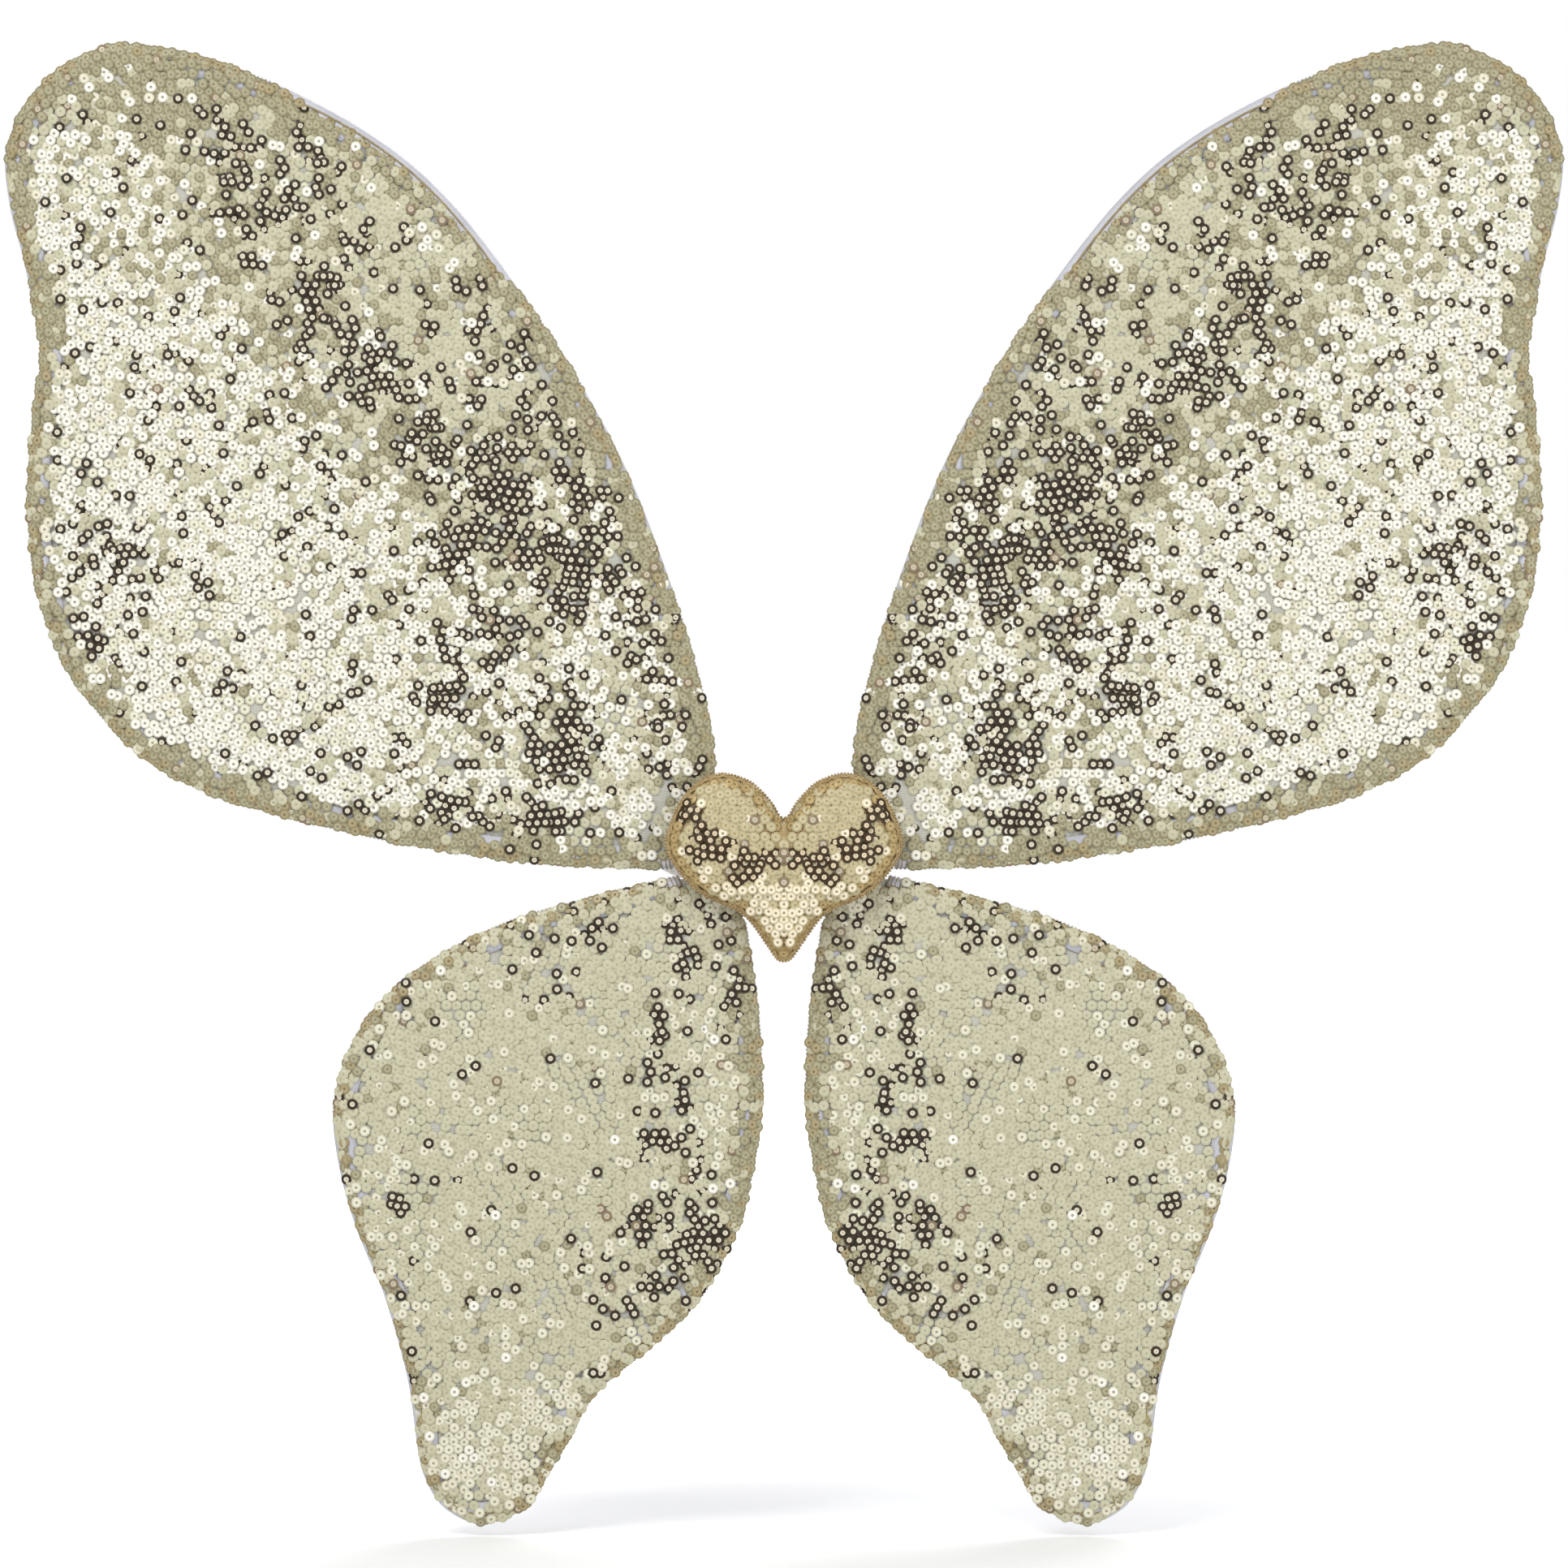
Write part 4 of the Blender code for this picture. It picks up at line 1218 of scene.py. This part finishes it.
def rounded_sheet(name, node, material, edge):
    """Stands for a flat plate: its outline and depth, with rounded edges and slightly uneven faces."""
    low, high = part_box(node)
    front, back = low[1] / MM, high[1] / MM
    loop = resample(clockwise(flat_outline(node, high[1])), 1.0, closed=True)
    normals = inward(loop, closed=True)
    turns = np.linspace(0, math.pi / 2, 4)
    rim = [
        along_edge(loop, normals, edge * (1 - math.sin(a)), face + way * edge * (1 - math.cos(a)), 1.0)
        for face, way, angles in ((front, 1, turns), (back, -1, turns[::-1])) for a in angles]
    flat, triangles = filled(loop + normals * edge, 1.8)
    uneven = 0.10 * np.array([abs(noise.noise(Vector((a / 3, b / 3, 8.1)))) for a, b in flat])
    uneven[: len(loop)] = 0
    depths = (front + uneven, back - uneven)
    piece = sheet_piece(name, flat, triangles, len(loop), depths, 1.0, material, "hub", rim[1:-1])
    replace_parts(piece, node)
    return loop, back


def strap_rings(node):
    """The four corner lines of a strap's faceted CAD ribbon, in order, each running end to end."""
    bm = merged(node)
    sharp = [e for e in bm.edges if len(e.link_faces) == 2 and e.calc_face_angle() > math.radians(50)]
    near_by = {}
    for e in sharp:
        a, b = e.verts
        near_by.setdefault(a, []).append(b)
        near_by.setdefault(b, []).append(a)
    caps = {v for v, others in near_by.items() if len(others) == 3}
    cap = [next(v for v in bm.verts if v in caps)]
    while True:
        ahead = [v for v in near_by[cap[-1]] if v in caps and v not in cap]
        if not ahead:
            break
        cap.append(ahead[0])
    lines = []
    for v in cap[:4]:
        line = [v, next(w for w in near_by[v] if w not in caps)]
        while line[-1] not in caps:
            line.append(next(w for w in near_by[line[-1]] if w is not line[-2]))
        lines.append(np.array([tuple(w.co) for w in line]) / MM)
    bm.free()
    return lines


def ribbed_elastic(name, shape, material, body):
    """Elastic with raised cords along it, from rows of centre, half-width and half-thickness vectors."""
    shape = resample(shape, 1.6)
    centre, across, through = shape[:, :3], shape[:, 3:6], shape[:, 6:9]
    cords, sides = 6, 25
    rings = []
    for face in (1, -1):
        for k in range(sides):
            w = face * (1 - 2 * k / (sides - 1))
            rib = 0.72 + 0.28 * abs(math.sin(cords * math.pi * (w + 1) / 2))
            end = math.sqrt(max(0.0, 1 - abs(w) ** 14))
            rings.append(centre + across * w + through * face * rib * (0.35 + 0.65 * end))
    verts = np.stack(rings, axis=1).reshape(-1, 3)
    piece = closed_piece(name, verts, tube_faces(len(centre), 2 * sides), material, body, "elastic")
    travel = np.repeat(np.arange(len(centre)) * 1.6, 2 * sides).astype(np.float32)
    piece.data.attributes.new("along", "FLOAT", "POINT").data.foreach_set("value", travel)
    return piece


def build_strap(side_name, material):
    a, b, c, d = strap_rings(f"{side_name}_strap_loop")
    if np.linalg.norm(a[0] - b[0]) < np.linalg.norm(b[0] - c[0]):
        a, b, c, d = b, c, d, a
    shape = np.concatenate([(a + b + c + d) / 4, ((a + d) - (b + c)) / 4, ((a + b) - (c + d)) / 4], axis=1)
    piece = ribbed_elastic(f"{side_name}_elastic", shape, material, f"{side_name}_strap")
    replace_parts(piece, f"{side_name}_strap_loop")


def build_tab(side_name, level, material):
    """The end of a strap, sewn flat into the hub."""
    node = f"{side_name}_{level}_strap_tab"
    low, high = (np.array(corner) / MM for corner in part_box(node))
    middle, half = (low + high) / 2, (high - low) / 2
    rows = [(x, middle[1], middle[2], 0, 0, half[2], 0, half[1], 0) for x in (low[0], middle[0], high[0])]
    piece = ribbed_elastic(f"{side_name}_{level}_strap_end", np.array(rows), material, "hub")
    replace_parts(piece, node)


def build_hub(cloth):
    rounded_sheet("felt_core", "hub_core", cloth["felt"], 0.5)
    rounded_sheet("stiffener", "hub_board", cloth["board"], 0.25)
    loop, back = rounded_sheet("felt_patch", "back_patch", cloth["felt"], 0.5)
    stitch_line = loop + inward(loop, closed=True) * 2.2
    stitch_line = np.concatenate([stitch_line, stitch_line[:1]])
    running_stitch("patch_stitches", stitch_line, back - 0.1, 1.0, "hub", cloth["gold_thread"])
    for side_name in SIDES:
        build_strap(side_name, cloth["elastic"])
        for level in ("upper", "lower"):
            build_tab(side_name, level, cloth["elastic"])


# ---------------------------------------------------------------- studio


def area_light(name, location, target, size, power, colour=(1, 1, 1)):
    light = bpy.data.lights.new(name, "AREA")
    light.shape = "DISK"
    light.size = size
    light.energy = power
    light.color = colour
    obj = bpy.data.objects.new(name, light)
    obj.location = location
    obj.rotation_euler = (Vector(target) - Vector(location)).to_track_quat("-Z", "Y").to_euler()
    bpy.context.scene.collection.objects.link(obj)


def build_studio():
    width = (CAD_HIGH[0] - CAD_LOW[0]) * 1.0035
    front_y = CAD_LOW[1]
    wing_y = -0.009
    distance_to = 2.2
    camera = bpy.data.cameras.new("camera")
    camera.sensor_width = 36
    camera.lens = 36 * distance_to / width
    camera.clip_end = 50
    obj = bpy.data.objects.new("camera", camera)
    obj.location = (0, wing_y - distance_to, (CAD_LOW[2] + CAD_HIGH[2]) / 2)
    obj.rotation_euler = (math.pi / 2, 0, 0)
    bpy.context.scene.collection.objects.link(obj)
    bpy.context.scene.camera = obj

    world = bpy.data.worlds.new("studio")
    world.use_nodes = True
    nodes, links = world.node_tree.nodes, world.node_tree.links
    backdrop = nodes["Background"]
    backdrop.inputs["Color"].default_value = (1, 1, 1, 1)
    backdrop.inputs["Strength"].default_value = 1.0
    fill = nodes.new("ShaderNodeBackground")
    fill.inputs["Color"].default_value = (0.97, 0.98, 1.0, 1)
    fill.inputs["Strength"].default_value = 0.58
    paths = nodes.new("ShaderNodeLightPath")
    mix = nodes.new("ShaderNodeMixShader")
    links.new(paths.outputs["Is Camera Ray"], mix.inputs["Fac"])
    links.new(fill.outputs[0], mix.inputs[1])
    links.new(backdrop.outputs[0], mix.inputs[2])
    links.new(mix.outputs[0], nodes["World Output"].inputs["Surface"])
    bpy.context.scene.world = world
    bpy.context.scene.view_settings.view_transform = "Standard"

    area_light("key", (-0.7, front_y - 1.6, 1.3), (0, 0, 0.03), 0.9, 20.5)
    area_light("fill", (1.2, front_y - 1.4, 0.5), (0, 0, 0.03), 1.2, 8.4)
    area_light("back", (0.5, 1.6, 1.2), (0, 0, 0.03), 1.2, 16)

    floor_z = (CAD_LOW[2] - 0.003) / MM
    places = np.linspace(-4000, 4000, 17)
    verts = [(x, y, floor_z) for y in places for x in places]
    count = len(places)
    faces = [(j * count + i, j * count + i + 1, (j + 1) * count + i + 1, (j + 1) * count + i)
             for j in range(count - 1) for i in range(count - 1)]
    floor = mesh_piece("floor", verts, faces, [floor_paint()], None)


def main():
    cloth = {
        "net": base_net(),
        "satin": satin(),
        "hem": hem_cloth(),
        "edge_thread": thread("edge_thread", (104, 84, 46), (176, 158, 110)),
        "gold_thread": thread("gold_thread", (148, 112, 58), (214, 186, 128)),
        "steel": steel(),
        "felt": felt(),
        "heart_cloth": heart_cloth(),
        "board": board(),
        "elastic": elastic(),
    }
    for level in ("upper", "lower"):
        for side_name in SIDES:
            build_wing(level, side_name, cloth)
    build_heart(cloth)
    build_hub(cloth)
    build_studio()


main()
